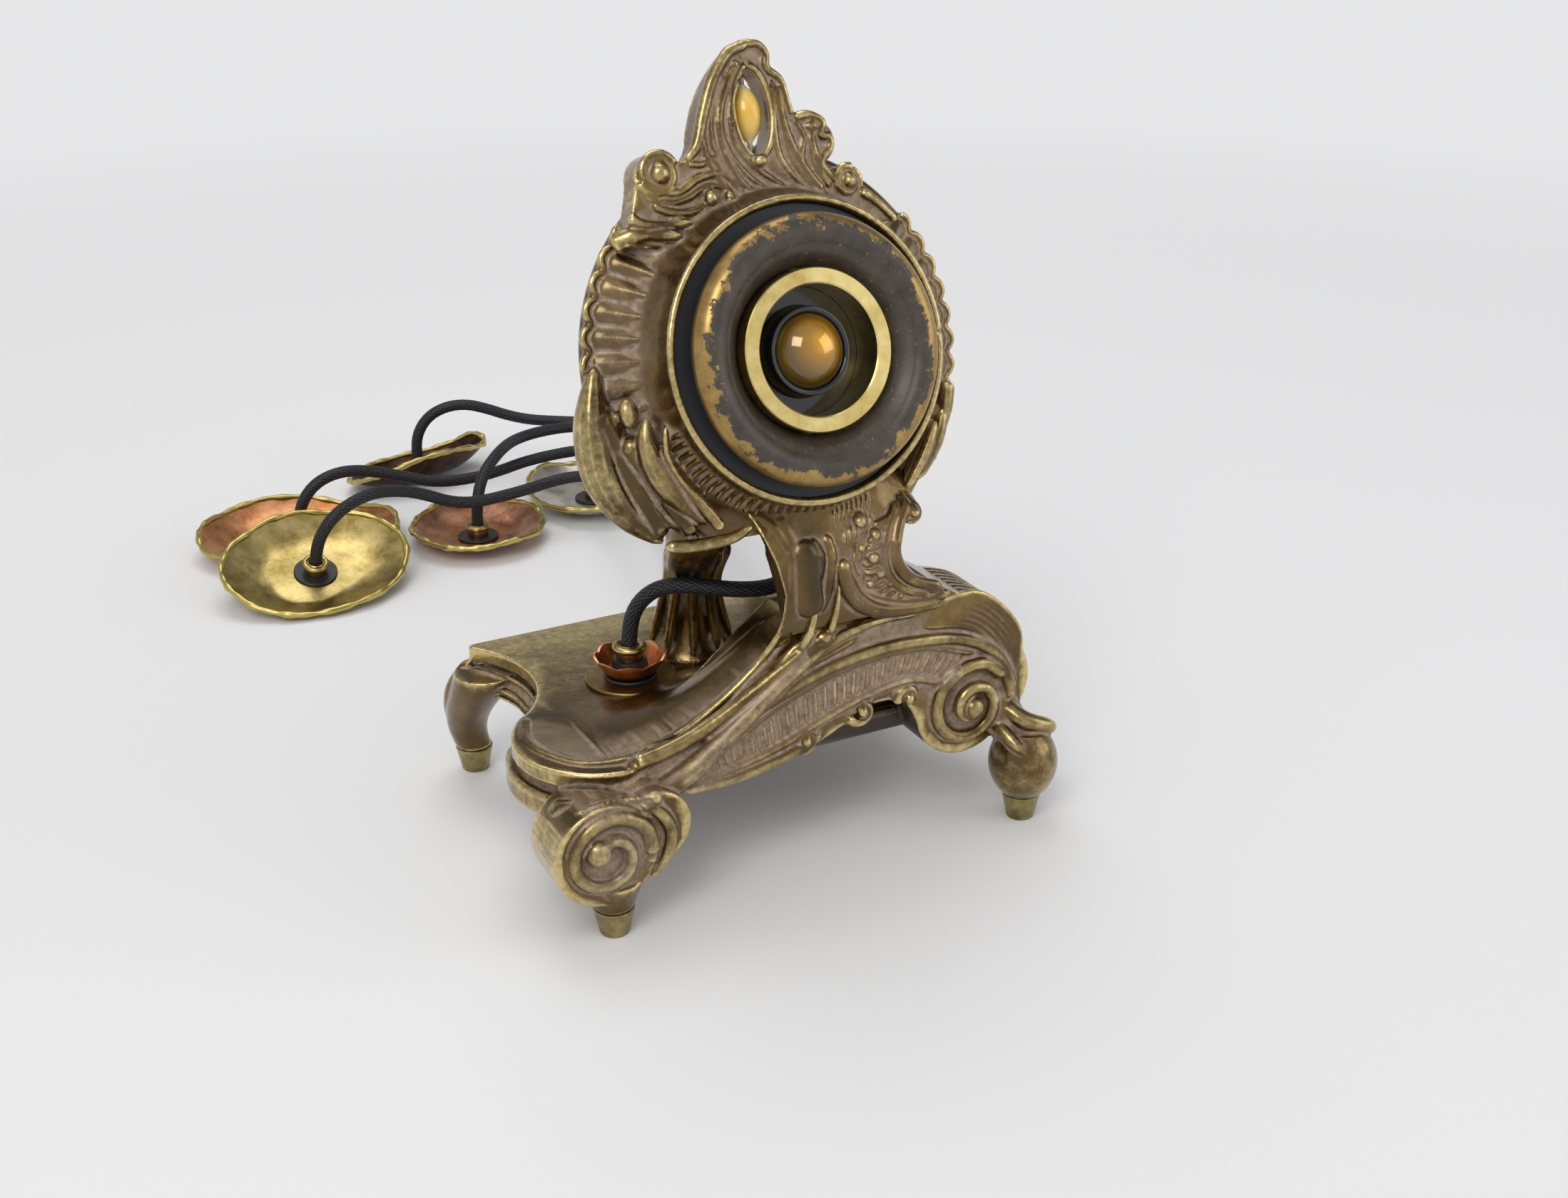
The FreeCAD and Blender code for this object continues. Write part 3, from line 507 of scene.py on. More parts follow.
def smooth_route(start, start_way, middle, end, end_way):
    """Points a run apart on a smooth path that leaves start along its way and comes in along end's own."""
    first = start + start_way * end_run
    last = end + end_way * end_run
    knots = [first] + [np.array(p, dtype=float) for p in middle] + [last]
    spans = [np.linalg.norm(b - a) for a, b in zip(knots, knots[1:])]
    slopes = [start_way]
    for index in range(1, len(knots) - 1):
        before = (knots[index] - knots[index - 1]) / spans[index - 1]
        after = (knots[index + 1] - knots[index]) / spans[index]
        total = spans[index - 1] + spans[index]
        slopes.append(before * spans[index] / total + after * spans[index - 1] / total)
    slopes.append(-end_way)
    fine = [first]
    for index, span in enumerate(spans):
        for step in range(1, 41):
            t = step / 40
            here = knots[index] * (2 * t**3 - 3 * t**2 + 1) + slopes[index] * span * (t**3 - 2 * t**2 + t)
            here = here + knots[index + 1] * (3 * t**2 - 2 * t**3) + slopes[index + 1] * span * (t**3 - t**2)
            fine.append(here)
    fine = np.array(fine)
    lengths = lengths_along(fine)
    count = int(round(lengths[-1] / cord_run))
    inner = picked(fine, lengths, lengths[-1] * np.arange(1, count) / count)
    return np.vstack([[start], [first], inner, [last], [end]])


def entry_arc(end, way, before):
    """The points of a quarter bend that brings a cord from before down into its eyelet."""
    last = end + way * end_run
    side = np.asarray(before, dtype=float) - last
    side = unit(side - way * np.dot(side, way))
    bend = []
    for degrees in (88, 58, 29):
        angle = math.radians(degrees)
        bend.append(last + way * entry_bend * math.sin(angle) + side * entry_bend * (1 - math.cos(angle)))
    return bend


def nurbs_line(name, points):
    """The cord's centreline: one open curve in frame metres, and close points read from it."""
    data = bpy.data.curves.new(name, "CURVE")
    data.dimensions = "3D"
    spline = data.splines.new("NURBS")
    spline.points.add(len(points) - 1)
    for spot, place in zip(spline.points, out(points)):
        spot.co = (*place, 1.0)
    spline.order_u = 3
    spline.use_endpoint_u = True
    spline.resolution_u = 16
    made = linked(name, data)
    bpy.context.view_layer.update()
    line = made.evaluated_get(bpy.context.evaluated_depsgraph_get()).to_mesh()
    spots = np.array([v.co for v in line.vertices])
    bpy.data.objects.remove(made)
    return spots


def braided_tube(name, points, node_name):
    """A braided cord along its centreline, its strands raised in the mesh."""
    line = nurbs_line(name + "_line", points)
    lengths = lengths_along(line)
    total = lengths[-1]
    count = int(total / braid_step)
    goals = np.linspace(0, total, count)
    path = picked(line, lengths, goals)
    ways = unit(np.gradient(path, axis=0))
    side = unit(np.cross(ways[0], [0.3, 0.2, 0.9]))
    angles = round_angles(braid_around)
    rings = []
    reliefs = []
    for index in range(count):
        side = unit(side - ways[index] * np.dot(side, ways[index]))
        up = np.cross(ways[index], side)
        turn = goals[index] * 1000 / braid_pitch * 2 * math.pi
        left = (angles * braid_strands / 2 + turn * braid_strands / 4) / math.pi
        right = (angles * braid_strands / 2 - turn * braid_strands / 4) / math.pi
        left_part = np.abs(np.cos(left * math.pi))
        right_part = np.abs(np.cos(right * math.pi))
        over = (np.floor(left + 0.5) + np.floor(right + 0.5)) % 2
        relief = np.where(over > 0.5, np.maximum(left_part, right_part * braid_under),
                          np.maximum(right_part, left_part * braid_under))
        radius = (cord_diameter / 2 - braid_relief * (1 - relief)) / 1000
        ring = np.cos(angles)[:, None] * side + np.sin(angles)[:, None] * up
        rings.append(path[index] + radius[:, None] * ring)
        reliefs.append(relief)
    # The strand relief is stored as the mesh's wear values; the braid paints it as highlight on the strands
    # and shade between them.
    made = piece(name, np.concatenate(rings), tube_skin(count, braid_around), paint["cord"],
                 [node_name], np.concatenate(reliefs), sharp=False)


# Carved castings


def through(points, steps=10):
    """Close points on a smooth line through a few."""
    p = np.asarray(points, dtype=float)
    ends = np.vstack([2 * p[0] - p[1], p, 2 * p[-1] - p[-2]])
    spots = []
    for index in range(len(p) - 1):
        a, b, c, d = ends[index : index + 4]
        for step in range(steps):
            t = step / steps
            spots.append(0.5 * (2 * b + (c - a) * t + (2 * a - 5 * b + 4 * c - d) * t**2
                                + (3 * b - a - 3 * c + d) * t**3))
    spots.append(p[-1])
    return np.array(spots)


def sweep(points, start_radius, end_radius, swell=0.0, sides=12, flat=1.0):
    """A tapering round moulding with domed ends, flattened towards the front, as vertices and faces."""
    line = through(points)
    ways = unit(np.gradient(line, axis=0))
    share = np.linspace(0, 1, len(line))
    radii = start_radius + (end_radius - start_radius) * share + swell * np.sin(math.pi * share)
    for index, cap in enumerate((0.35, 0.78)):
        radii[index] *= cap
        radii[-1 - index] *= cap
    angles = round_angles(sides)
    side = np.cross(ways[0], (0, 1, 0))
    if np.linalg.norm(side) < 0.1:
        side = np.cross(ways[0], (0.3, 0.9, 0.2))
    side = unit(side)
    verts = []
    for spot, way, radius in zip(line, ways, radii):
        side = unit(side - way * np.dot(side, way))
        up = np.cross(way, side) * flat
        verts.append(spot + radius * (np.cos(angles)[:, None] * side + np.sin(angles)[:, None] * up))
    return np.concatenate(verts), tube_skin(len(line), sides)


def ball(centre, size, rings=8, segments=14):
    """A round or oval knob."""
    verts, faces = [], []
    for i in range(rings + 1):
        polar_angle = math.pi * i / rings
        flat_reach = math.sin(polar_angle)
        for j in range(segments):
            turn = 2 * math.pi * j / segments
            spot = (flat_reach * math.cos(turn), flat_reach * math.sin(turn), math.cos(polar_angle))
            verts.append(np.array(centre) + np.array(size) * np.array(spot))
    for i in range(rings):
        here, there = i * segments, (i + 1) * segments
        for j in range(segments):
            k = (j + 1) % segments
            faces.append((here + j, there + j, there + k, here + k))
    return clean(verts, faces)


def scroll_line(centre, outer, inner, turns, start_deg, y, drop):
    """Points of a scroll that winds in on the plane at depth y, standing out by drop towards its eye."""
    spots = []
    count = int(abs(turns) * 9)
    for step in range(count + 1):
        share = step / count
        reach = outer + (inner - outer) * share
        angle = math.radians(start_deg + 360 * turns * share)
        right, up = reach * math.cos(angle), reach * math.sin(angle)
        spots.append((centre[0] + right, y - drop * share, centre[1] + up))
    return spots


def rib_tree():
    """Geometry nodes that set an oval rib on each point, long along its run and standing along its rise."""
    tree = bpy.data.node_groups.new("rows_of_ribs", "GeometryNodeTree")
    sizes = ("Rib Length", "Rib Width", "Rib Height")
    tree.interface.new_socket("Geometry", in_out="INPUT", socket_type="NodeSocketGeometry")
    for name in sizes:
        tree.interface.new_socket(name, in_out="INPUT", socket_type="NodeSocketFloat")
    tree.interface.new_socket("Finish", in_out="INPUT", socket_type="NodeSocketMaterial")
    tree.interface.new_socket("Geometry", in_out="OUTPUT", socket_type="NodeSocketGeometry")
    start = node(tree, "NodeGroupInput").outputs
    spots = node(tree, "GeometryNodeMeshToPoints", Mesh=start["Geometry"])
    rise = node(tree, "GeometryNodeInputNamedAttribute", set_data_type="FLOAT_VECTOR", Name="rise")
    run = node(tree, "GeometryNodeInputNamedAttribute", set_data_type="FLOAT_VECTOR", Name="run")
    stand = node(tree, "FunctionNodeAlignRotationToVector", set_axis="Z", Vector=rise.outputs["Attribute"])
    lie = node(tree, "FunctionNodeAlignRotationToVector", set_axis="X", set_pivot_axis="Z",
               Rotation=stand.outputs["Rotation"], Vector=run.outputs["Attribute"])
    bead = node(tree, "GeometryNodeMeshIcoSphere", Radius=1.0, Subdivisions=2)
    size = node(tree, "ShaderNodeCombineXYZ", **dict(zip("XYZ", [start[name] for name in sizes])))
    copies = node(tree, "GeometryNodeInstanceOnPoints", Points=spots.outputs["Points"],
                  Instance=bead.outputs["Mesh"], Rotation=lie.outputs["Rotation"],
                  Scale=size.outputs["Vector"])
    real = node(tree, "GeometryNodeRealizeInstances", Geometry=copies.outputs["Instances"])
    finish = node(tree, "GeometryNodeSetMaterial", Geometry=real.outputs["Geometry"],
                  Material=start["Finish"])
    node(tree, "NodeGroupOutput", Geometry=finish.outputs["Geometry"])
    return tree


ribs_tree = rib_tree()


def ribs(points, runs, half_length, half_width, half_height):
    """Ribs on the points that stand to the front, each along its run: vertices and faces."""
    mesh = mesh_of("rib_points", points, [])
    rises = np.tile(np.array([0.0, -1.0, 0.0]), (len(points), 1))
    for name, values in (("run", runs), ("rise", rises)):
        layer = mesh.attributes.new(name, "FLOAT_VECTOR", "POINT")
        layer.data.foreach_set("vector", np.asarray(values, dtype=np.float32).ravel())
    made = linked("rib_points", mesh)
    modifier = made.modifiers.new("ribs", "NODES")
    modifier.node_group = ribs_tree
    sizes = {"Rib Length": half_length, "Rib Width": half_width, "Rib Height": half_height,
             "Finish": paint["gilt"]}
    for item in ribs_tree.interface.items_tree:
        if item.in_out == "INPUT" and item.name in sizes:
            modifier[item.identifier] = sizes[item.name]
    whole = evaluated(made)
    verts = np.array([v.co for v in whole.vertices])
    faces = [tuple(f.vertices) for f in whole.polygons]
    bpy.data.objects.remove(made)
    bpy.data.meshes.remove(whole)
    return verts, faces


def spaced(points, shares):
    """Points at shares of a smooth line through a few."""
    line = through(points, 24)
    return picked(line, np.linspace(0, 1, len(line)), shares)


def between(first, second, count, half_width, half_height, reach):
    """Ribs laid across the strip between two lines, sunk a little into it."""
    sink = np.array([0.0, -0.2, 0.0])
    shares = np.linspace(0.04, 0.96, count)
    spots_a = spaced(first, shares)
    spots_b = spaced(second, shares)
    middle = (spots_a + spots_b) / 2 - sink
    across = spots_b - spots_a
    runs = unit(across)
    sizes = [round(length * reach, 1) for length in np.linalg.norm(across, axis=1)]
    verts, faces = [], []
    base = 0
    for size in dict.fromkeys(sizes):
        members = [index for index in range(count) if sizes[index] == size]
        v, f = ribs(middle[members], runs[members], size, half_width, half_height)
        verts.append(v)
        faces += [tuple(i + base for i in face) for face in f]
        base += len(v)
    return np.vstack(verts), faces


def beads(line, count, radius):
    """A row of round beads on a line."""
    runs = np.tile(dial_right, (count, 1))
    return ribs(spaced(line, np.linspace(0, 1, count)), runs, radius, radius, radius)


def relaxed(points, edges, times):
    """Points drawn towards their neighbours, times over."""
    first = np.concatenate([edges[:, 0], edges[:, 1]])
    second = np.concatenate([edges[:, 1], edges[:, 0]])
    count = len(points)
    shared = np.maximum(np.bincount(first, minlength=count), 1)
    here = points.copy()
    for _ in range(times):
        sums = [np.bincount(first, weights=here[second, k], minlength=count) for k in range(3)]
        here = np.stack(sums, axis=1) / shared[:, None]
    return here


def settled(made):
    """An object's modifiers applied for good; its new mesh."""
    whole = evaluated(made)
    made.modifiers.clear()
    made.data = whole
    return whole


def read(rows, name, width, kind=float):
    """A value of every row of a mesh's data."""
    values = np.empty(len(rows) * width, dtype=kind)
    rows.foreach_get(name, values)
    return values.reshape(-1, width)


def cast(name, ornaments, on_head, voxel, target=180000, shaped=None, tinted=None):
    """A casting: the CAD node's solid with its ornament run into it, worn, with painted highlight, on what
    stands out, and marked for painted shade in its hollows.
    """
    work = bmesh.new()
    work.from_mesh(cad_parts[name].data)
    bmesh.ops.remove_doubles(work, verts=work.verts, dist=1e-6)
    if shaped:
        bmesh.ops.triangulate(work, faces=work.faces)
        for reach in (0.012, 0.006):
            long_edges = [edge for edge in work.edges if edge.calc_length() > reach]
            bmesh.ops.subdivide_edges(work, edges=long_edges, cuts=3, use_grid_fill=True)
            bmesh.ops.triangulate(work, faces=work.faces)
    for verts, faces in ornaments:
        placed = out(on_dial(verts)) if on_head else out(verts)
        corners = [work.verts.new(p) for p in placed]
        for face in faces:
            work.faces.new([corners[i] for i in face])
    if shaped:
        for vert in work.verts:
            vert.co = out(shaped(np.array(vert.co) * 1000 - drawn_origin))
    mesh = bpy.data.meshes.new("cast_" + name)
    work.to_mesh(mesh)
    work.free()
    made = linked("cast_" + name, mesh)
    remesh = made.modifiers.new("cast", "REMESH")
    remesh.mode = "VOXEL"
    remesh.voxel_size = voxel * 1.0 / 1000
    smooth = made.modifiers.new("soften", "SMOOTH")
    smooth.factor = 0.5
    smooth.iterations = 2
    whole = settled(made)
    triangles = sum(len(f.vertices) - 2 for f in whole.polygons)
    if triangles > target:
        thin = made.modifiers.new("thin", "DECIMATE")
        thin.ratio = target / triangles
        whole = settled(made)
    whole.shade_smooth()
    points = read(whole.vertices, "co", 3)
    normals = read(whole.vertices, "normal", 3)
    edges = read(whole.edges, "vertices", 2, np.int64)
    near = relaxed(points, edges, 5)
    far = relaxed(near, edges, 45)
    fine = np.einsum("ij,ij->i", points - near, normals) * 1000
    broad = np.einsum("ij,ij->i", points - far, normals) * 1000
    # How far each point stands out: the gilt paints this as rubbed gold, partly real wear and partly painted
    # highlight.
    store(whole, "wear", np.clip(0.47 + fine * 1.5 + broad * 0.13, 0, 1))
    # How deep each point lies: the gilt darkens the deepest hollows with painted shade.
    store(whole, "depth", np.clip(0.72 + broad * 0.30 + fine * 0.6, 0, 1))
    tint = tinted(points * 1000 - drawn_origin) if tinted else np.full(len(points), 0.5)
    store(whole, "tint", np.clip(tint, 0, 1))
    finish_piece(made, paint["gilt"], "case", [name])


crest_front = 20.0
bracket_front = -53.0
apron_front = -52.0
foot_front = -64.0


def front(points, y):
    """Points (right, up) on a front plane."""
    return [(x, y, z) for x, z in points]


def crest(points):
    """Crest points (right, up) on the front of its plate."""
    return front(points, crest_front)


def apron_line(points):
    """Points (right, up) on the front of the apron."""
    return front(points, apron_front)


def polar(radius, depth, degrees):
    """A dial point at an angle from the right, as seen from the front."""
    return (radius * math.cos(math.radians(degrees)), depth, radius * math.sin(math.radians(degrees)))


def head_ornament():
    """The flutes of the flame, its scrolls, the scalloped flanks and the leaves below."""
    y = crest_front
    flutes = [
        crest([(-3.4, 84), (-11, 76.5), (-14.7, 69.2), (-15.1, 61.7), (-12.3, 54.6), (-4.5, 46.6)]),
        crest([(-2.2, 81.4), (-9.2, 74.6), (-11.8, 66), (-10, 58.2), (-4.2, 50.7), (3.4, 45.6)]),
        crest([(-4.4, 78.6), (-7.8, 71.4), (-8.4, 63.4), (-5.6, 57.4), (0.3, 51.6), (9.4, 45.4)]),
        crest([(6.2, 78.6), (6.0, 71.4), (5.2, 62.2), (6, 55.9), (9.7, 50), (15, 45)]),
        crest([(9.4, 75.6), (8.6, 67.3), (8.9, 60.3), (10.4, 53.9), (14, 48), (18.6, 43.6)]),
        crest([(12.3, 66.2), (14.3, 61.3), (12.9, 56), (14, 50), (18, 45.4), (21, 42)]),
    ]
    made = [sweep(flute, 0.85, 0.7, 0.25) for flute in flutes]
    for first, second, count in ((0, 1, 30), (1, 2, 28), (3, 4, 24), (4, 5, 16)):
        made.append(between(flutes[first], flutes[second], count, 0.34, 0.5, 0.42))
    under_left = crest([(-3, 57), (3, 51.6), (9.4, 45.4)])
    under_right = crest([(6, 56), (9.7, 50), (15, 45)])
    window_angles = np.linspace(math.radians(95), math.radians(445), 41)
    window = [(-1 + 6.2 * math.cos(a), 69.6 + 13.0 * math.sin(a)) for a in window_angles]
    made += [
        between(under_left, under_right, 12, 0.34, 0.5, 0.4),
        sweep(crest([(0, 88.6), (-6.4, 86.4), (-12.4, 79.4), (-16.8, 70.2), (-20, 62), (-24, 57.8)]),
              1.5, 1.3, 0.5),
        sweep(crest([(-2, 88.4), (3, 88.4), (5.4, 85.6), (5.2, 81.5), (9, 78), (10.4, 72), (11.4, 67.8)]),
              1.3, 1.1, 0.2),
        sweep(crest([(12, 66.9), (17, 67.2), (21, 65), (19.9, 61.6), (22.6, 60.2), (22.5, 57.4), (19.6, 54.4),
                     (18.6, 50), (21, 46)]), 1.2, 1.0, 0.3),
        sweep(crest([(18.6, 64), (16.6, 60), (16.8, 55), (17, 50)]), 0.9, 0.8, 0.3),
        ball((17.6, y, 64), (2.6, 1.5, 1.9)),
        sweep(crest(window), 0.95, 0.95),
        ball((-1, y - 1.0, 55.6), (2.2, 1.6, 1.6)),
        sweep(scroll_line((-33.5, 55.0), 6.2, 3.0, 0.9, 20, y, 0.6), 1.5, 1.1),
        ball((-33.2, y - 1.0, 55.0), (3.1, 2.8, 3.1), 12, 20),
        sweep(crest([(-32.8, 57), (-35.4, 53.7), (-33.4, 50.2), (-27.6, 49.4), (-21.3, 52.4), (-15.1, 53.3),
                     (-11.1, 51.4), (-8.4, 46.5)]), 1.1, 0.9, 0.5),
        sweep(crest([(-37.6, 54), (-37.4, 49), (-31, 46.6), (-25, 47.6), (-20, 49.8), (-15, 49.6),
                     (-12.6, 46.6)]), 1.0, 0.8, 0.3),
        sweep(crest([(-36.6, 46.6), (-30, 43.6), (-23.2, 43.6), (-17.6, 47)]), 1.3, 1.1, 0.4),
        sweep(crest([(-24, 57), (-19.5, 56.4), (-16, 57.6), (-12, 52), (-4, 47.6), (1, 45)]), 1.0, 0.7, 0.3),
        ball((-18.5, y - 1.4, 46.6), (1.9, 1.8, 2.4)),
        ball((-12.5, y - 1.2, 46.2), (1.6, 1.6, 2.0)),
        sweep(scroll_line((27, 47.2), 4.6, 1.4, 1.1, 60, y, 0.6), 1.5, 0.9),
        ball((27, y - 1.2, 47.2), (2.0, 2.0, 2.0)),
        sweep(crest([(31, 44), (36, 40), (42, 34)]), 1.6, 1.2),
        sweep([(-48, 25, 37), (-43, 22, 38.6), (-37, 20.6, 38.4), (-30, 17, 37)], 3.4, 1.2, 0.4),
        sweep([(-44, 20.4, 44), (-40, 20, 41.4), (-33, 19.6, 40.4), (-26, 17.6, 40.6)], 1.6, 0.9, 0.3),
    ]
    return made + flank_ornament() + leaf_ornament()


def flank_ornament():
    """Gadroons that fan out on both flanks to a scalloped rim."""
    made = []
    pitch = 7.6
    for first, count, way in ((206.0, 10, -1), (-26.0, 9, 1)):
        rim_line = []
        for index in range(count):
            angle = first + way * index * pitch
            section = ((44.6, 19.2), (49.4, 23.2), (54.2, 27.2), (57.8, 29.4))
            line = [polar(radius, depth, angle) for radius, depth in section]
            made.append(sweep(line, 2.7, 3.9, 0.3, 16, 0.6))
            for share in (-0.5, -0.25, 0.0, 0.25):
                bulge = 59.0 + 2.2 * math.cos(math.pi * share)
                rim_line.append(polar(bulge, 28.6, angle + way * share * pitch))
        made.append(sweep(rim_line, 1.15, 1.15))
    lip = [polar(43.5, 6.7, a) for a in np.linspace(0, 360, 61)]
    made.append(sweep(lip, 1.25, 1.25, 0, 10))
    return made


def leaf_ornament():
    """The long leaves, buds and rungs low on the left flank, and the leaf spur on the right."""
    made = [
        sweep([(-58.6, 26.6, 4), (-60.6, 27, -5), (-61.6, 28, -15), (-60.2, 29, -28), (-54, 29, -40),
               (-45, 28, -49)], 1.4, 1.6, 4.4),
        sweep([(-55, 23.4, -9), (-56.6, 24.6, -18), (-53, 25.4, -31), (-45, 25.4, -42), (-35, 24, -49)],
              1.1, 0.9, 0.3),
        sweep([(-48.4, 18.6, -12), (-49, 19.6, -20), (-46, 20.6, -29), (-40, 22, -38), (-33, 22.4, -46)],
              0.8, 0.6, 3.4),
        sweep([(-44, 15.8, -15), (-44.4, 16.4, -24), (-39, 18, -34), (-29, 19.4, -45)], 0.9, 0.7, 0.2),
        sweep([(-46, 24, -50), (-38, 22, -51), (-27, 20, -50.6), (-20, 18.5, -48)], 2.0, 1.2, 0.4),
        ball((-52.4, 21.6, -10), (2.8, 2.4, 4.2)),
    ]
    for angle in np.linspace(203, 246, 12):
        rung = [polar(44.8, 11.5, angle), polar(46.2, 16, angle + 0.8), polar(49, 19.5, angle + 1.6)]
        made.append(sweep(rung, 0.7, 0.6, 0.2))
    for angle in np.linspace(250, 300, 15):
        rung = [polar(45, 12, angle), polar(47, 17, angle + 2), polar(50.5, 19.5, angle + 4)]
        made.append(sweep(rung, 0.6, 0.5, 0.2))
    made += [
        sweep([(55, 24, -16), (53, 24, -24), (50, 25, -32), (49, 27, -39)], 2.6, 0.8, 0.6),
        sweep([(50, 20, -24), (46, 20, -33), (38, 21, -44)], 1.6, 1.8, 0.8),
        sweep([(45, 17, -27), (40, 17.5, -36), (33, 19, -46)], 1.2, 1.2, 0.6),
    ]
    return made


def bracket_ornament():
    """The rocaille panel, its double C-scroll and its knobs."""
    y = bracket_front
    rail = [(31, 117.5), (26, 112), (23.4, 105), (25.4, 98), (31, 92.4), (41, 88.5)]
    inner = [(27, 117), (22, 111), (19.8, 104), (21.6, 96), (27, 90.4), (36, 86.4)]
    sweep_low = [(5.6, 104), (7.0, 96.4), (11.4, 89.6), (18.6, 85.2), (29, 83), (42, 82.4)]
    made = [
        sweep(front(rail, y - 1.0), 1.9, 1.7, 0.5),
        sweep(front(inner, y - 0.8), 1.4, 1.2, 0.4),
        between(front(rail, y), front(inner, y), 22, 0.45, 1.0, 0.44),
        sweep(scroll_line((31.5, 114.5), 4.2, 1.2, 1.0, 120, y, 0.8), 1.5, 1.0),
        ball((31.6, y - 1.4, 114.4), (2.0, 2.0, 2.0)),
        sweep(front(sweep_low, y - 1.0), 2.1, 1.7, 1.1),
        sweep(front([(8.6, 103), (10.4, 98), (15, 93.4), (22, 90.2), (31, 87.6)], y), 1.0, 0.8, 0.3),
        ball((41, y - 0.8, 85.6), (3.4, 2.0, 2.0)),
        sweep(front([(-21, 120), (-17.5, 119.6), (-13.6, 115), (-11, 109)], y), 1.0, 0.8, 0.3),
        sweep(front([(-4.0, 112), (-3.0, 106), (-3.6, 99), (-4.6, 93)], y + 0.8), 2.0, 1.6, 1.8),
        sweep(front([(-13, 119), (-10.2, 112), (-9.2, 104), (-9.6, 96), (-11, 88), (-13.6, 82)], y + 2.0),
              2.4, 2.6, 0.7),
        sweep(front([(1.6, 112), (2.6, 104), (1.4, 95), (-1, 88)], y), 1.4, 1.0, 0.3),
    ]
    hatching = ((4, 116, 17, 119, 8), (6.5, 110, 17, 113, 6), (9, 103.4, 18, 106, 5), (12, 97, 19.6, 99, 4))
    for x0, z0, x1, z1, count in hatching:
        x, z = (x0 + x1) / 2, (z0 + z1) / 2
        low_line = [(x0, z0 - 2.6), (x, z - 2.4), (x1, z1 - 2.6)]
        high_line = [(x0 + 1, z0 + 2.4), (x + 1, z + 2.6), (x1 + 1, z1 + 2.4)]
        made.append(between(front(low_line, y), front(high_line, y), count, 0.5, 1.15, 0.48))
    knobs = ((13, 114.6, 2.1), (17.4, 110, 1.6), (16, 103, 1.9), (12, 107, 1.2), (18.6, 97.4, 1.6),
             (15, 94.6, 1.2), (22, 93.6, 1.3), (26, 88.8, 1.0))
    for x, z, size in knobs:
        made.append(ball((x, y - 1.3, z), (size, size, size)))
    made.append(sweep(front([(10.4, 116.4), (13, 117.4), (15.4, 115.6), (15, 113)], y), 1.0, 0.6))
    for x, _, z in through(front(inner, y), 6)[3:-6:2]:
        spur = [(x - 1.0, y - 0.6, z - 0.4), (x - 3.6, y - 0.8, z - 1.4), (x - 6.6, y - 0.4, z - 1.8)]
        made.append(sweep(spur, 0.85, 0.7, 0.3))
    return made


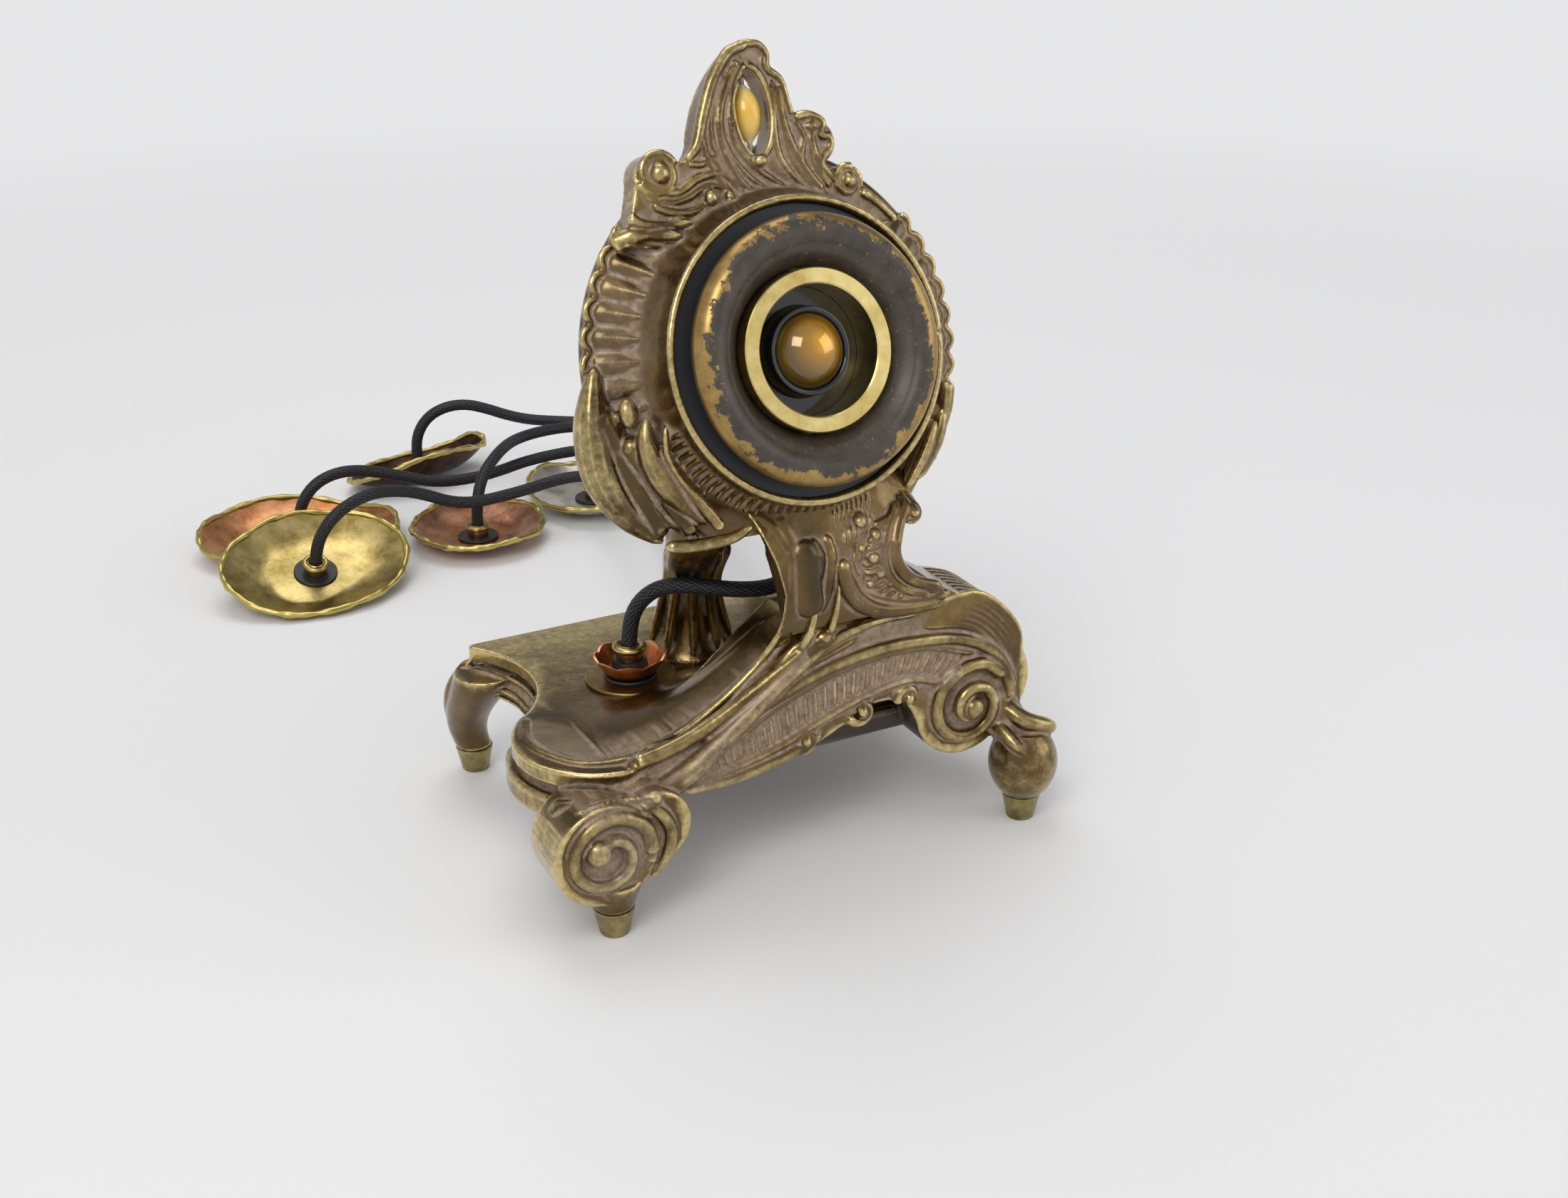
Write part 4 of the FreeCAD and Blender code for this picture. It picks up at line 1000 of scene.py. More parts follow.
def base_ornament():
    """The ridges, gadroons and leaf curls of the apron, the striped shoulder, and the scroll foot."""
    y = apron_front
    crown = [(-80, -6, 49.4), (-85, -24, 49.4), (-77, -42, 49.6), (-61, -48, 50.4), (-46, -46.5, 54),
             (-32, -46, 61.5), (-20, -46, 70.5), (-13, -47.4, 80), (-9.4, -50, 90)]
    hollow = [(-79, -8, 44.6), (-83, -26, 44.6), (-76, -44, 44.8), (-61, -50.5, 46), (-46, -50.4, 50),
              (-32, -49.6, 57.4), (-20, -49, 66), (-6, -49, 75.6)]
    roll = [(-82, -6, 39.4), (-87, -25, 39.4), (-79, -46, 39.6), (-64, -54.6, 41), (-50, -55, 45),
            (-38, -54.6, 51.8), (-25, -54, 60.8), (-12, -53.6, 70), (2, -53, 77.4), (18, -52.4, 80.6),
            (34, -52, 80)]
    low_line = [(-56, 40), (-46, 44.6), (-42, 50), (-20, 61), (8, 69.5), (34, 70.5), (58, 64), (70, 47)]
    arch_high = apron_line([(-50, 44.4), (-32, 50.6), (-16, 59.2), (8, 67.2), (34, 68.2), (56, 61.4)])
    arch_low = apron_line([(-46, 39.4), (-30, 42), (-14, 46), (8, 54), (30, 58), (46, 53)])
    made = [
        sweep(crown, 2.5, 0.5, 0.5),
        sweep(hollow, 3.6, 1.2, 0.4),
        ball((0.6, y - 0.2, 78.8), (3.4, 2.7, 2.8), 12, 18),
        sweep([(-66, -52.6, 49.4), (-60.4, -50.6, 51), (-54, -48.8, 52.8), (-47, -47.6, 55)], 0.8, 0.6, 2.4),
        sweep(roll, 4.5, 0.8, 0.7),
        sweep([(-12, -50.4, 70), (-6, -52.6, 79), (-3.4, -53.4, 88), (-4.4, -53.6, 97)], 1.6, 0.5, 0.2),
        sweep([(-2, -52, 74), (2.6, -53, 82), (4.4, -53.6, 90), (4.8, -53.8, 98)], 1.3, 0.5, 0.2),
        sweep(apron_line(low_line), 1.5, 1.7, 0.6),
        sweep(apron_line([(-50, 45), (-36, 51), (-20, 62.4), (-4, 70.6), (12, 76)]), 0.7, 0.8, 0.2),
        sweep(arch_high, 0.9, 1.1, 0.4),
        sweep(arch_low, 1.2, 1.4, 0.3),
        between(arch_high, arch_low, 34, 0.8, 1.15, 0.5),
        sweep(apron_line([(-48, 38.6), (-30, 39), (-13, 42), (0, 46)]), 1.6, 1.8, 0.6),
    ]
    for x, z, size, turn in ((-6, 45.6, 4.2, 1), (14, 51, 4.6, 1), (31, 51.6, 4.0, -1)):
        made.append(sweep(scroll_line((x, z), size, 1.2, 0.9 * turn, 200, y, 1.0), 1.7, 0.9))
        made.append(ball((x, y - 1.4, z), (1.7, 1.7, 1.7)))
    made.append(sweep(scroll_line((54, 43.5), 15.4, 3.2, 1.6, 30, y, 3.0), 2.6, 1.9))
    made.append(ball((54, y - 3.0, 43.5), (3.8, 3.4, 3.8)))
    for step in range(7):
        grow = step * 1.7
        stripe = [(36 + grow * 0.5, 75 + grow * 0.75), (52 + grow * 0.5, 71.6 + grow),
                  (63 + grow * 0.8, 62 + grow * 0.6), (69.4 + grow * 0.45, 50 + grow * 0.3)]
        made.append(sweep(apron_line(stripe), 0.95, 0.8, 0.25))
    ridge = [(50, 82), (58, 79.4), (64.2, 75.6), (69, 69.6), (72.2, 62), (74, 54)]
    for depth in np.linspace(-49, -27, 8):
        made.append(sweep(front(ridge, depth), 1.0, 0.9, 0.5))
    made.append(mound())
    return made + foot_ornament() + platform_ornament()


def mound():
    """The hollow slope that climbs from the platform to the waist behind the apron's crown."""
    across, along = 40, 24
    ramp_x = (-68, -58, -44, -28, -16, -4, 2)
    ramp_z = (50.2, 51, 54, 63, 73, 81.4, 82)
    top, low = [], []
    for x in np.linspace(-68, 2, across):
        climb = np.interp(x + np.linspace(-9, 9, 37), ramp_x, ramp_z).mean() - ramp_z[0]
        for y in np.linspace(-47, 2, along):
            fall = math.cos(math.pi / 2 * min(max((y + 34) / 34, 0.0), 1.0)) ** 2.2
            top.append((x, y, 50.95 + (climb + 0.6 * (1 - math.exp(-climb))) * fall))
            low.append((x, y, 47.5))
    count = across * along
    faces = []
    for i in range(across - 1):
        for j in range(along - 1):
            a, b = i * along + j, (i + 1) * along + j
            faces.append((a, b, b + 1, a + 1))
            faces.append((count + a + 1, count + b + 1, count + b, count + a))
    rim = [i * along for i in range(across)]
    rim += [(across - 1) * along + j for j in range(1, along)]
    rim += [i * along + along - 1 for i in range(across - 2, -1, -1)]
    rim += list(range(along - 2, 0, -1))
    for a, b in zip(rim, rim[1:] + rim[:1]):
        faces.append((b, a, count + a, count + b))
    return np.array(top + low), faces


def foot_ornament():
    """The scroll foot at the front left and the leafy bulb at the front right."""
    y = foot_front
    made = [
        sweep(scroll_line((-77.2, 30.5), 14.4, 4.8, 1.35, -10, y, 1.2), 2.6, 1.6),
        ball((-80.6, y - 1.0, 33.4), (4.2, 3.6, 4.2)),
        sweep(front([(-66, 44), (-60, 40), (-56.5, 33), (-58, 25), (-63, 19)], y + 2), 1.8, 1.6, 0.6),
    ]
    for step in (0, 1, 2):
        flute = [(-71 + step * 3, 38 - step * 1.5), (-67 + step * 2.4, 31 - step),
                 (-69 + step * 2, 23 - step)]
        made.append(sweep(front(flute, y + 0.4), 0.9, 0.7, 0.4))
    made += [
        sweep([(-89, -49, 42), (-80, -55, 42.6), (-66, -57.4, 43)], 2.6, 3.0, 0.8),
        beads(front([(-84, 45.5), (-76, 46.6), (-66, 45.4)], y + 3), 12, 0.9),
        ball((-61, y + 2.5, 44.6), (2.6, 2.2, 2.4)),
        sweep([(66, -49, 41), (72, -58, 36), (80, -60, 33), (84, -57, 30)], 3.2, 1.4, 0.8),
        sweep([(64, -46, 38), (66, -60, 31), (70, -66, 26)], 2.4, 1.0, 0.6),
    ]
    return made


def platform_ornament():
    """Steps in the recesses of the platform and cabriole knees behind."""
    made = []
    recess = ((77.5, 46), (70.4, 32), (68.6, 20), (71, 6), (79.4, -6))
    for side in (-1, 1):
        for height, reach, size in ((40.5, 1.6, 1.1), (44.4, -0.4, 0.8), (37.2, 1.2, 0.8)):
            line = [(side * (x + reach), y, height) for x, y in recess]
            made.append(sweep(line, size, size))
        knee = [(side * 78, 49, 46), (side * 83, 55, 34), (side * 82, 61, 21), (side * 78, 62, 12)]
        made.append(sweep(knee, 2.2, 1.2, 0.8))
    return made


def strut_ornament(top, middle, foot):
    """Flutes that run down a strut."""
    made = []
    for degrees in range(-150, 211, 40):
        turn = math.radians(degrees)
        line = []
        for (x, y, z), radius in ((top, 9.6), (middle, 8.3), (foot, 13.4)):
            line.append((x + radius * math.cos(turn), y + radius * math.sin(turn), z))
        made.append(sweep(line, 1.5, 1.5, 0.2))
    return made


def head_tint(points):
    """Chalk left between the gadroons and at the foot of the flame's flutes, dark metal on the outer leaf."""
    from_eye = points - np.array(eye_centre)
    right, up = from_eye @ dial_right, from_eye @ dial_up
    radius = np.hypot(right, up)
    flank = np.clip((radius - 46.0) / 3.0, 0, 1) * np.clip((61.0 - radius) / 3.0, 0, 1)
    flank = flank * np.clip((30.0 - np.abs(up - 6.0)) / 6.0, 0, 1)
    flame = np.clip(1.5 - np.hypot(right / 20.0, (up - 54.0) / 12.0), 0, 1)
    leaf = np.clip((radius - 55.0) / 4.0, 0, 1) * np.clip((-6.0 - up) / 6.0, 0, 1) * (right < -20)
    return 0.5 + 0.17 * flank + 0.20 * flame - 0.40 * leaf


def near_line(points, line, width):
    """One on a line of (right, up) points in the front, and nothing further off it than its width."""
    xs, zs = np.array(line).T
    off = np.abs(points[:, 2] - np.interp(points[:, 0], xs, zs))
    inside = (points[:, 0] > xs[0]) & (points[:, 0] < xs[-1])
    return np.where(inside, np.clip(1.6 - 1.6 * off / width, 0, 1), 0.0)


def bracket_tint(points):
    """Chalk left in the hatched panel, and dark metal on the boss beside the window."""
    x, z = points[:, 0], points[:, 2]
    panel = np.clip(1.5 - np.hypot((x - 14.0) / 8.5, (z - 104.0) / 15.0), 0, 1)
    boss = np.clip(1.7 - np.hypot((x + 3.8) / 3.6, (z - 102.0) / 11.0), 0, 1)
    return 0.5 + 0.26 * panel - 0.5 * boss


def base_tint(points):
    """Chalk left in the apron's hatched panel, in the cove above it and in the face of the scroll foot."""
    forward = np.clip((-45.0 - points[:, 1]) / 3.0, 0, 1)
    panel = near_line(points, [(-50, 42), (-32, 46.4), (-16, 52.6), (8, 60.6), (34, 62.6), (50, 58)], 9.0)
    cove = near_line(points, [(-84, 44.6), (-61, 46), (-46, 50), (-32, 57.4), (-20, 66), (-6, 75.6)], 3.4)
    face = np.clip(1.6 - np.hypot(points[:, 0] + 74.0, points[:, 2] - 29.5) / 10.0, 0, 1)
    face = face * np.clip((-61.0 - points[:, 1]) / 2.0, 0, 1)
    return 0.5 + 0.46 * np.maximum(np.maximum(panel, 0.8 * cove) * forward, 0.9 * face)


def within(value):
    """A share held between nothing and one."""
    return min(max(value, 0.0), 1.0)


def bracket_form(spot):
    """The bracket drawn thin towards the window on its left, leaning back at its top and at its foot."""
    x, y, z = spot
    y = bracket_front + (y - bracket_front) * (0.28 + 0.72 * within((x + 12.0) / 20.0))
    nearness = within(1.0 - (y - bracket_front) / 20.0)
    corner = max(abs(x - 6.0) - 16.0, 0.0) * max(z - 114.0, 0.0) * 0.05
    y += nearness * (max(z - 107.0, 0.0) * 0.42 + max(86.0 - z, 0.0) * 0.2 + corner)
    return np.array([x, y, z])


def strut_form(spot):
    """The right strut leaning in, so that its top goes under the head."""
    x, y, z = spot
    top = 102.0
    share = within((z - 64.0) / 44.0)
    share = share * share * (3 - 2 * share)
    x -= 13.0 * share
    y -= 9.0 * share
    if z > top:
        z = top + (z - top) * 0.5
    return np.array([x, y, z])


left_strut = ((-23.5, -15.4, 101), (-16, 6.6, 78), (-12, 17, 53))
right_strut = ((41, -15.4, 101), (38, 6.6, 78), (36, 17, 53))
cast("case_head", head_ornament(), True, 0.5, tinted=head_tint)
cast("front_bracket", bracket_ornament(), False, 0.42, 120000, bracket_form, bracket_tint)
cast("case_base", base_ornament(), False, 0.55, tinted=base_tint)
cast("rear_strut_left", strut_ornament(*left_strut), False, 0.5, 60000)
cast("rear_strut_right", strut_ornament(*right_strut), False, 0.5, 60000, strut_form)


# The eye in the dial


def lip_wear(points):
    """Rubbed through on the outer round of the lip, most on the right, sound in the funnel."""
    radii = np.hypot(points[:, 0], points[:, 2])
    right = np.clip(points[:, 0] / 39.0, 0, 1)
    return np.clip((radii - 30.0) / 12.5 + 0.16 * right * np.clip((radii - 27) / 6, 0, 1), 0.02, 0.93)


bezel_profile = [(23.75, 8.0), (23.75, 6.0), (24.6, 4.6), (25.9, 2.8), (27.4, 1.0), (29.0, -0.8)]
bezel_profile += arc((34.1, 1.5), 5.0, -148, 62, 26) + [(36.0, 7.2), (35.6, 8.0)]
card_profile = [(28.2, 8.05), (42.0, 8.05), (42.0, 11.0), (28.2, 11.0)]
tube_profile = [(18.9, 0.5), (19.3, 0.1), (23.2, 0.1), (23.55, 0.45), (23.55, 11.0), (32.0, 11.0),
                (32.0, 13.0), (23.55, 13.0), (23.55, 27.0), (18.9, 27.0)]
ring_bore = 10.9
ring_profile = [(ring_bore, 6.3), (11.3, 5.8), (12.0, 5.5), (12.6, 5.7), (12.9, 6.3), (12.9, 11.6),
                (13.6, 13.0), (18.8, 13.0), (18.8, 15.0), (12.4, 15.0), (12.4, 9.6), (ring_bore, 6.6)]
dial_piece("bezel_trumpet", bezel_profile, "bezel", "bezel_ring", lip_wear)
dial_piece("dial_card", card_profile, "backing", "backing_ring")
dial_piece("eye_tube", tube_profile, "eyepiece", "eyepiece_tube")
dial_piece("eye_ring", ring_profile, "black_gloss", "eye_retainer")
ball_radius = 12.0
ball_depth = 6.5 + math.sqrt(ball_radius**2 - ring_bore**2) + 0.05
globe, globe_faces = ball((0, ball_depth, 0), (ball_radius,) * 3, 40, 64)
piece("eye_globe", out(on_dial(globe)), globe_faces, paint["amber"], ["eye_ball"])
copied("eye_seat", "black_gloss")
copied("rear_cover", "cover")
copied("cover_screws", "brass")
copied("cord_bushings", "rubber")
copied("base_screws", "brass")
copied("socket_nut", "brass")
copied("bead_pin", "brass")

window_centre = (-1.0, 24.5, 69.6)
bead_bore = 0.78
bead_profile = [(bead_bore, -10.25)] + arc((-6.2, 0.0), 10.7, -61, 61, 25) + [(bead_bore, 10.25)]
bead_points, bead_faces = lathe([(max(r, bead_bore), z) for r, z in bead_profile], 64)
bead_wear = np.clip(1.0 - np.abs(bead_points[:, 1]) / 11.5, 0, 1)
bead_points = out(on_dial(bead_points[:, [0, 2, 1]] + np.array(window_centre)))
piece("honey_bead", bead_points, bead_faces, paint["pearl"], ["crest_bead"], bead_wear, "bead")


# Ferrules, socket and eyelets

upright = np.eye(3)
ferrule_profile = [(0.02, 0.0), (4.1, 0.0), (4.6, 0.5), (6.2, 8.2), (6.35, 8.6), (6.2, 9.0), (4.0, 9.0),
                   (4.0, 2.0), (0.02, 2.0)]
for foot in ("front_left", "front_right", "rear_left", "rear_right"):
    ferrule = "ferrule_" + foot
    spot = np.append(middle_of(ferrule) - drawn_origin[:2], 0.0)
    upright_piece("ferrule_cup_" + foot, ferrule_profile, spot, upright, "ferrule", ferrule)

socket_spot = np.array([-40.0, 2.7, 51.0])
sleeve_top = 7.1
disc_profile = [(3.3, 0.0), (14.3, 0.0), (14.6, 0.3), (14.6, 0.9), (14.3, 1.2), (3.3, 1.2)]
ring_washer_profile = [(3.3, 1.2), (8.4, 1.2), (8.6, 1.6), (8.4, 2.0), (3.3, 2.0)]
sleeve_profile = [(3.3, 2.9), (6.2, 2.9), (6.2, 3.4), (5.5, 6.6), (5.3, sleeve_top), (3.3, sleeve_top)]
upright_piece("socket_plate", disc_profile, socket_spot, upright, "disc", "socket_disc")
upright_piece("socket_washer", ring_washer_profile, socket_spot, upright, "rubber", "socket_ring")
upright_piece("socket_sleeve", sleeve_profile, socket_spot, upright, "rubber", "socket_bush")


def petal_cup():
    """The copper cup round the sleeve: eight beaten petals with a turned-out edge."""
    segments, rows = 128, 14
    wall = 0.7
    turns = round_angles(segments)
    wave = np.abs(np.sin(turns * 4))
    outer, inner = [], []
    for row in range(rows + 1):
        t = row / rows
        reach = 3.4 + (7.2 - 3.4) * min(t / 0.25, 1.0) + 4.3 * max(t - 0.25, 0) ** 0.62 / 0.75**0.62
        height = 2.0 + max(t - 0.2, 0) / 0.8 * 6.2
        lobe = (0.55 * wave - 0.35) * max(t - 0.3, 0) / 0.7
        rise = (1.1 * wave - 0.6) * max(t - 0.55, 0) / 0.45
        radius = reach + lobe
        small = radius - wall * min(max(t - 0.2, 0) / 0.2, 1.0)
        lift = wall * (1 - min(max(t - 0.2, 0) / 0.5, 1.0))
        outer.append(np.stack([radius * np.cos(turns), radius * np.sin(turns), height + rise], axis=1))
        inner.append(np.stack([small * np.cos(turns), small * np.sin(turns), height + rise + lift], axis=1))
    rings = outer + inner[::-1]
    verts, faces = clean(np.concatenate(rings), skin(len(rings), segments))
    edge = np.clip((verts[:, 2] - 7.0) / 1.0, 0, 1)
    piece("socket_petals", out(verts + socket_spot), faces, paint["cup"], ["socket_cup"], edge)


petal_cup()


def eyelet_profile(stem):
    """An eyelet's turned section: clinched below, a barrel, and a rolled lip."""
    section = [(1.6, -stem - 0.8), (4.6, -stem - 0.8), (4.7, -stem - 0.5), (4.7, -stem), (3.2, -stem),
               (3.2, 0.0), (4.2, 0.0), (4.4, 0.3), (4.4, 2.6)]
    section += arc((4.35, 3.95), 1.22, -80, 150, 14)
    return section + [(2.9, 4.9), (2.65, 4.5), (2.65, eyelet_seat), (1.6, eyelet_seat)]


collar_spot = socket_spot + np.array([0, 0, sleeve_top])
upright_piece("socket_collar", eyelet_profile(14.3), collar_spot, upright, "brass", "socket_eyelet")


# Dishes and their cords: centre x, y, height, half length, half width, turn, tilt about x, tilt about y

dishes = {
    "brass": (-82.0, 238.0, 6.5, 41.0, 33.0, 8.0, 20.0, 0.0),
    "large_copper": (-76.0, 285.0, 0.8, 45.0, 34.0, -6.0, 0.0, 0.0),
    "copper": (-3.5, 257.0, 0.8, 31.5, 31.5, 0.0, 0.0, 0.0),
    "silver": (61.0, 277.0, 0.8, 32.0, 38.0, 0.0, 0.0, 0.0),
    "dark_leaf": (-2.0, 342.0, 2.35, 38.0, 21.4, 12.0, -12.0, -4.0),
}
routes = {
    "dark_leaf": [(48, 70, 114), (76, 140, 66), (96, 212, 37), (101, 266, 28), (81, 312, 25), (48, 330, 27)],
    "copper": [(42, 70, 90), (66, 140, 50), (84, 208, 31), (88, 264, 29), (67, 298, 30), (34, 293, 32)],
    "large_copper": [(10, 70, 84), (42, 140, 42), (70, 210, 25), (79, 256, 23), (66, 287, 22), (36, 290, 21),
                     (10, 283, 20), (-14, 283, 21), (-36, 287, 28)],
    "brass": [(4, 70, 104), (32, 140, 58), (51, 196, 36), (54, 229, 29), (39, 250, 25), (12, 250, 22),
              (-14, 247, 23), (-36, 245, 33)],
    "silver": [(18, 70, 126), (38, 140, 78), (52, 210, 50)],
}
base_route = [(-38.2, 0.9, 76.7), (-33.9, -3.0, 82.9), (-25.9, -11.9, 86.4), (-14.3, -17.9, 84.6),
              (1, -18, 82.5), (14, -8, 82.3), (18.5, 7, 85), (16, 20, 94), (12, 23.5, 106), (7, 19, 119),
              (3, 8, 126.5)]
bushing_angles = {"dark_leaf": 6.0, "copper": 318.0, "large_copper": 222.0, "brass": 174.0, "silver": 90.0,
                  "base": 270.0}
bushing_pitch = 26.0
bushing_floor = 46.05


def dish_turn(name):
    """A dish's turn: its own spin, then its tilts."""
    spin, tilt_x, tilt_y = dishes[name][5:8]
    turn = Matrix.Rotation(math.radians(tilt_x), 3, "X") @ Matrix.Rotation(math.radians(tilt_y), 3, "Y")
    return np.array(turn @ Matrix.Rotation(math.radians(spin), 3, "Z"))


def dents(x, y, seed):
    """Soft hammer marks over a dish."""
    chance = np.random.default_rng(seed)
    total = np.zeros_like(x)
    for _ in range(46):
        at_x, at_y = chance.uniform(-44, 44, 2)
        size = chance.uniform(3.0, 7.5)
        deep = chance.uniform(-0.55, 0.35)
        total += deep * np.exp(-((x - at_x) ** 2 + (y - at_y) ** 2) / size**2)
    return total


def folds(name, share, turns):
    """How far a dish's edge is bent up from a true bowl."""
    if name == "dark_leaf":
        tip = 6.5 * share**4 * np.maximum(np.cos(turns - 0.2), 0) ** 6
        return tip + 3.0 * share**2 * np.maximum(-np.sin(turns), 0) ** 2 - 1.2 * share**3 * np.cos(2 * turns)
    if name == "large_copper":
        return 5.0 * share**3 * np.maximum(np.sin(turns - 0.5), 0) ** 2 + 0.9 * share**3 * np.sin(5 * turns)
    if name == "silver":
        return 1.4 * share**3 * np.sin(3 * turns + 0.8)
    return 0.7 * share**3 * np.sin(4 * turns + 1.0)


def beaten_dish(name, seed):
    """A hammered bowl with a folded, wavy rim, as a closed shell of sheet and a lumpy rolled edge."""
    half_length, half_width = dishes[name][3:5]
    segments, rows, sides = 144, 34, 12
    hole = 3.4
    turns = round_angles(segments)
    chance = np.random.default_rng(seed)
    ripple = np.zeros(segments)
    for order in range(2, 15):
        ripple += chance.normal(0, 0.55 / order**0.75) * np.sin(order * turns + chance.uniform(0, 6.28))
    top, under = [], []
    for row in range(rows + 1):
        share = row / rows
        reach = hole + (half_length - 2.2 - hole) * share
        stretch = 1.0 + (half_width / half_length - 1.0) * min(share / 0.25, 1.0)
        grow = 1.0 + 0.020 * ripple * share**3
        px = reach * np.cos(turns) * grow
        py = reach * np.sin(turns) * grow * stretch
        rise = dish_depth * max(share - 0.42, 0) ** 1.6 / 0.58**1.6
        calm = within((share - 0.24) / 0.2)
        pz = rise + folds(name, share, turns) + dents(px, py, seed) * calm + 0.45 * ripple * share**4
        pz = np.maximum(pz, 0.0)
        top.append(np.stack([px, py, pz + dish_wall], axis=1))
        under.append(np.stack([px, py, pz], axis=1))
    rings = top + under[::-1]
    sheet_points = np.concatenate(rings)
    edge = top[-1] - np.array([0, 0, dish_wall / 2])
    along = unit(np.roll(edge, -1, axis=0) - np.roll(edge, 1, axis=0))
    side = unit(np.cross(along, [0, 0, 1.0]))
    up = np.cross(side, along)
    lump = 1.25 + 0.22 * np.sin(turns * 13 + seed) + 0.18 * np.sin(turns * 29 + 2 * seed)
    roll = []
    for k in range(sides):
        a = 2 * math.pi * k / sides
        roll.append(edge + (lump * math.cos(a))[:, None] * side + (lump * math.sin(a))[:, None] * up)
    roll_points = np.stack(roll, axis=1).reshape(-1, 3)
    faces = skin(len(rings), segments) + skin(segments, sides, base=len(sheet_points))
    wear = np.concatenate([np.zeros(len(sheet_points)), np.ones(len(roll_points))])
    placed = np.concatenate([sheet_points, roll_points]) @ dish_turn(name).T + np.array(dishes[name][:3])
    placed[:, 2] = np.maximum(placed[:, 2], 0.05)
    made = piece(name + "_bowl", out(placed), faces, paint[name + "_dish"],
                 [name + "_dish"], wear)
    turned_out(made)
    return made


def turned_out(made):
    """Faces turned outwards on a finished piece."""
    work = bmesh.new()
    work.from_mesh(made.data)
    bmesh.ops.recalc_face_normals(work, faces=work.faces)
    work.to_mesh(made.data)
    work.free()


def bushing_exit(name):
    """Where a cord leaves its bushing; it goes straight in from there."""
    angle = math.radians(bushing_angles[name])
    spot = (bushing_pitch * math.cos(angle), bushing_floor, bushing_pitch * math.sin(angle))
    return on_dial(np.array([spot]))[0]


washer_profile = [(3.3, 0.9), (8.7, 0.9), (9.0, 1.2), (9.0, 1.6), (8.7, washer_top), (3.3, washer_top)]
for number, name in enumerate(dishes):
    spot = np.array(dishes[name][:3])
    turn = dish_turn(name)
    way = turn @ np.array([0, 0, 1.0])
    seat = spot + turn @ np.array([0, 0, washer_top])
    bowl = beaten_dish(name, 11 + number)
    washer = upright_piece(name + "_rubber", washer_profile, spot, turn, "rubber", name + "_washer")
    collar = upright_piece(name + "_collar", eyelet_profile(washer_top), seat, turn, "brass",
                           name + "_eyelet")
    end = spot + way * (washer_top + eyelet_seat + cord_gap)
    middle = routes[name] + entry_arc(end, way, routes[name][-1])
    route = smooth_route(bushing_exit(name), dial_in, middle, end, way)
    braided_tube(name + "_braid", route, name + "_cord")

socket_end = socket_spot + np.array([0, 0, sleeve_top + eyelet_seat + cord_gap])
route = smooth_route(socket_end, np.array([0, 0, 1.0]), base_route, bushing_exit("base"), dial_in)
braided_tube("base_braid", route, "base_cord")


# Floor, light and camera


def floor_paint():
    """Pale grey that keeps the shadow, and far off as pale to the eye as it is near."""
    material, tree, shader = new_material("pale_floor")
    grey = (0.80, 0.80, 0.81, 1.0)
    feed_all(tree, shader, Base_Color=grey, Roughness=0.80, Specular_IOR_Level=0.2)
    place = node(tree, "ShaderNodeTexCoord").outputs["Object"]
    gap = node(tree, "ShaderNodeVectorMath", set_operation="LENGTH", i0=place).outputs["Value"]
    far = node(tree, "ShaderNodeMapRange", Value=gap, From_Min=0.35, From_Max=1.3).outputs["Result"]
    path = node(tree, "ShaderNodeLightPath").outputs
    seen = maths(tree, "MAXIMUM", path["Is Camera Ray"], path["Is Glossy Ray"])
    seen = maths(tree, "MAXIMUM", seen, path["Is Transmission Ray"])
    glow = node(tree, "ShaderNodeEmission", Color=grey, Strength=1.0)
    blend = node(tree, "ShaderNodeMixShader", i0=maths(tree, "MULTIPLY", far, seen), i1=shader.outputs[0],
                 i2=glow.outputs[0])
    tree.links.new(blend.outputs[0], tree.nodes["Material Output"].inputs["Surface"])
    return material


half = 6.0
floor_corners = [(-half, -half, 0), (half, -half, 0), (half, half, 0), (-half, half, 0)]
floor = linked("floor", mesh_of("floor", floor_corners, [(0, 1, 2, 3)]))
floor.data.materials.append(floor_paint())

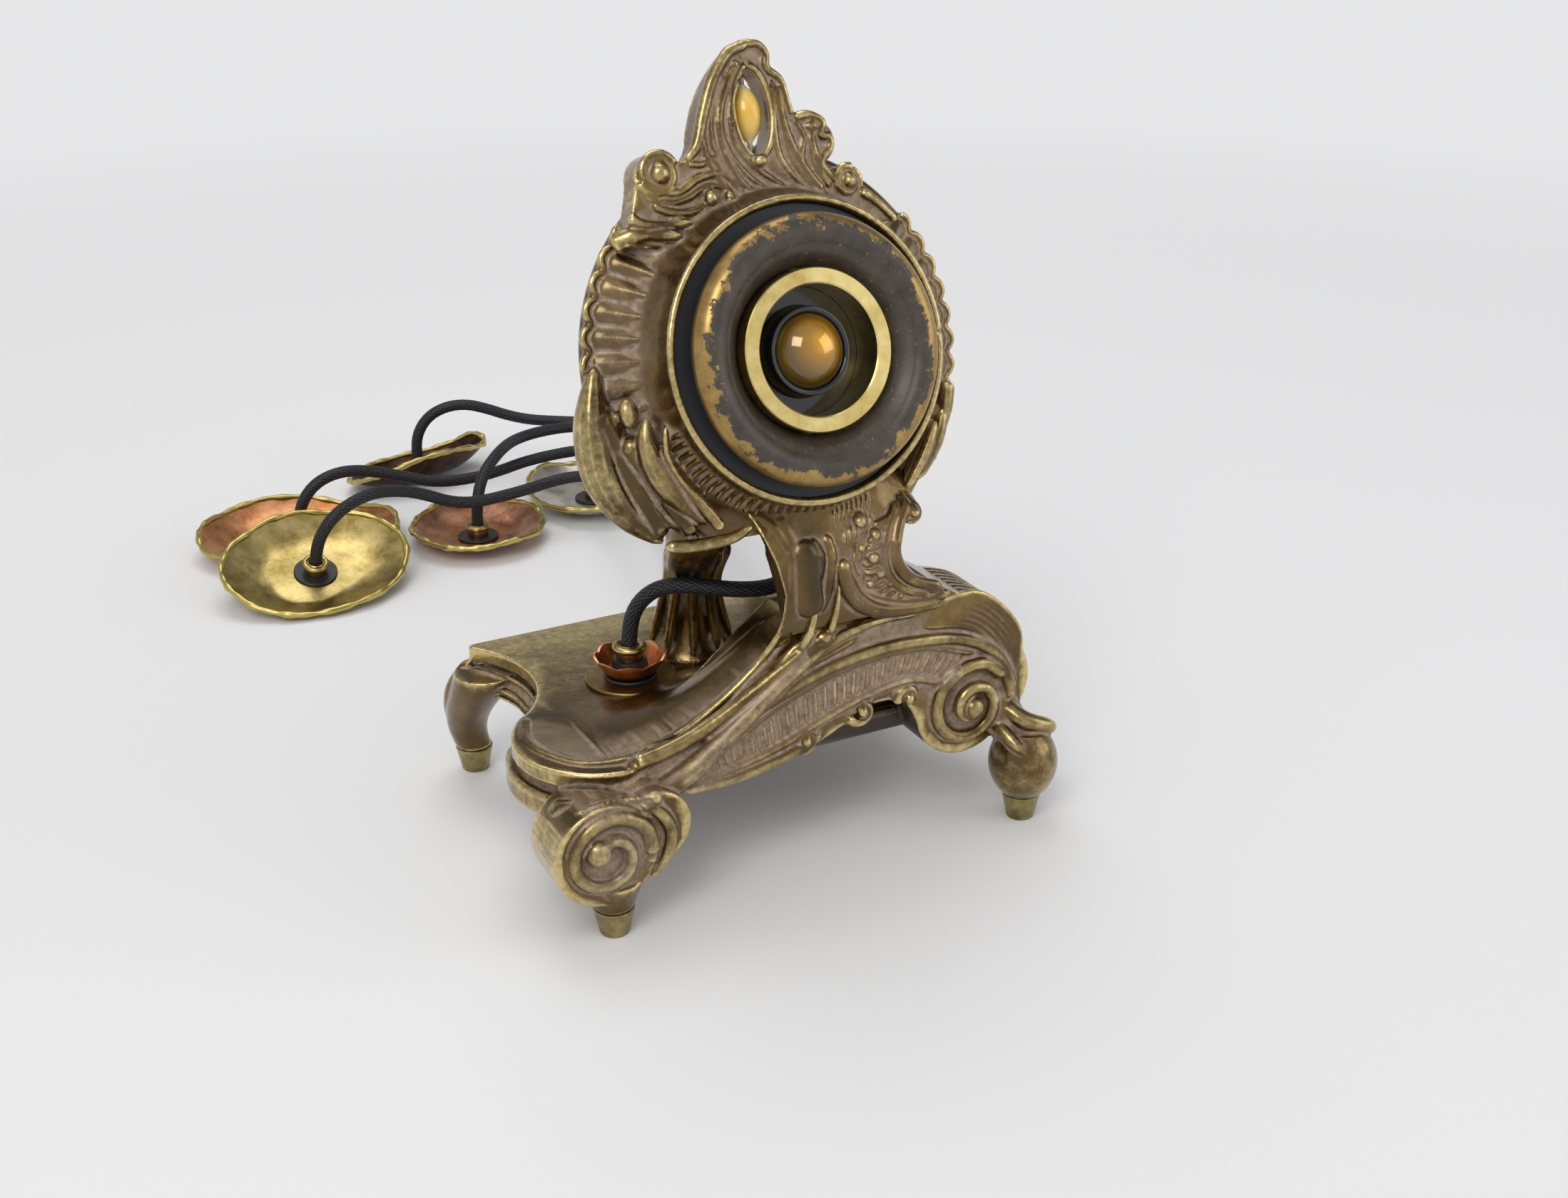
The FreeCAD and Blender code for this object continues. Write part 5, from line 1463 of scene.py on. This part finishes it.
world = bpy.data.worlds.new("studio")
bpy.context.scene.world = world
world.use_nodes = True
sky = world.node_tree
way = node(sky, "ShaderNodeTexCoord").outputs["Generated"]
key_way = (-0.52, -0.45, 0.73)
facing = node(sky, "ShaderNodeVectorMath", set_operation="DOT_PRODUCT", i0=way, i1=key_way).outputs["Value"]
toward_key = maths(sky, "MULTIPLY_ADD", facing, 0.5, 0.5)
room = ramp(sky, toward_key, (0.30, (0.16, 0.155, 0.15)), (0.58, (0.30, 0.30, 0.31)),
            (0.80, (0.70, 0.71, 0.73)), (0.97, (1.0, 0.99, 0.97)))
height = maths(sky, "ABSOLUTE", node(sky, "ShaderNodeSeparateXYZ", Vector=way).outputs["Z"])
backdrop = node(sky, "ShaderNodeMapRange", Value=height, From_Min=0.50, From_Max=0.26).outputs["Result"]
room = mixed(sky, backdrop, room, (1.0, 1.0, 1.0))
feed_all(sky, sky.nodes["Background"], Color=room, Strength=0.78)


def soft_light(name, place, target, size, power, colour=(1, 1, 1)):
    """A square studio light aimed at a spot, in metres and watts."""
    data = bpy.data.lights.new(name, "AREA")
    data.shape = "SQUARE"
    data.size = size
    data.energy = power
    data.color = colour
    made = linked(name, data)
    made.location = place
    made.rotation_euler = (Vector(target) - Vector(place)).to_track_quat("-Z", "Y").to_euler()


soft_light("key", (-0.75, -0.75, 1.15), (0, 0, 0.12), 0.65, 7.0, (1.0, 0.98, 0.95))
soft_light("fill", (0.95, -0.70, 0.60), (0, 0, 0.12), 0.8, 2.6, (0.95, 0.97, 1.0))
soft_light("top", (0.1, 0.55, 1.3), (0, 0.12, 0.05), 0.9, 5.5)

camera_data = bpy.data.cameras.new("photo")
camera_data.sensor_width = sensor_width
camera_data.lens = sensor_width * focal_pixels / photo_width
camera = linked("photo", camera_data)
camera.location = tuple(out(camera_place))
camera.rotation_euler = (math.radians(90 - camera_pitch_deg), 0.0, math.radians(-camera_yaw_deg))
bpy.context.scene.camera = camera
bpy.context.scene.view_settings.view_transform = "Standard"
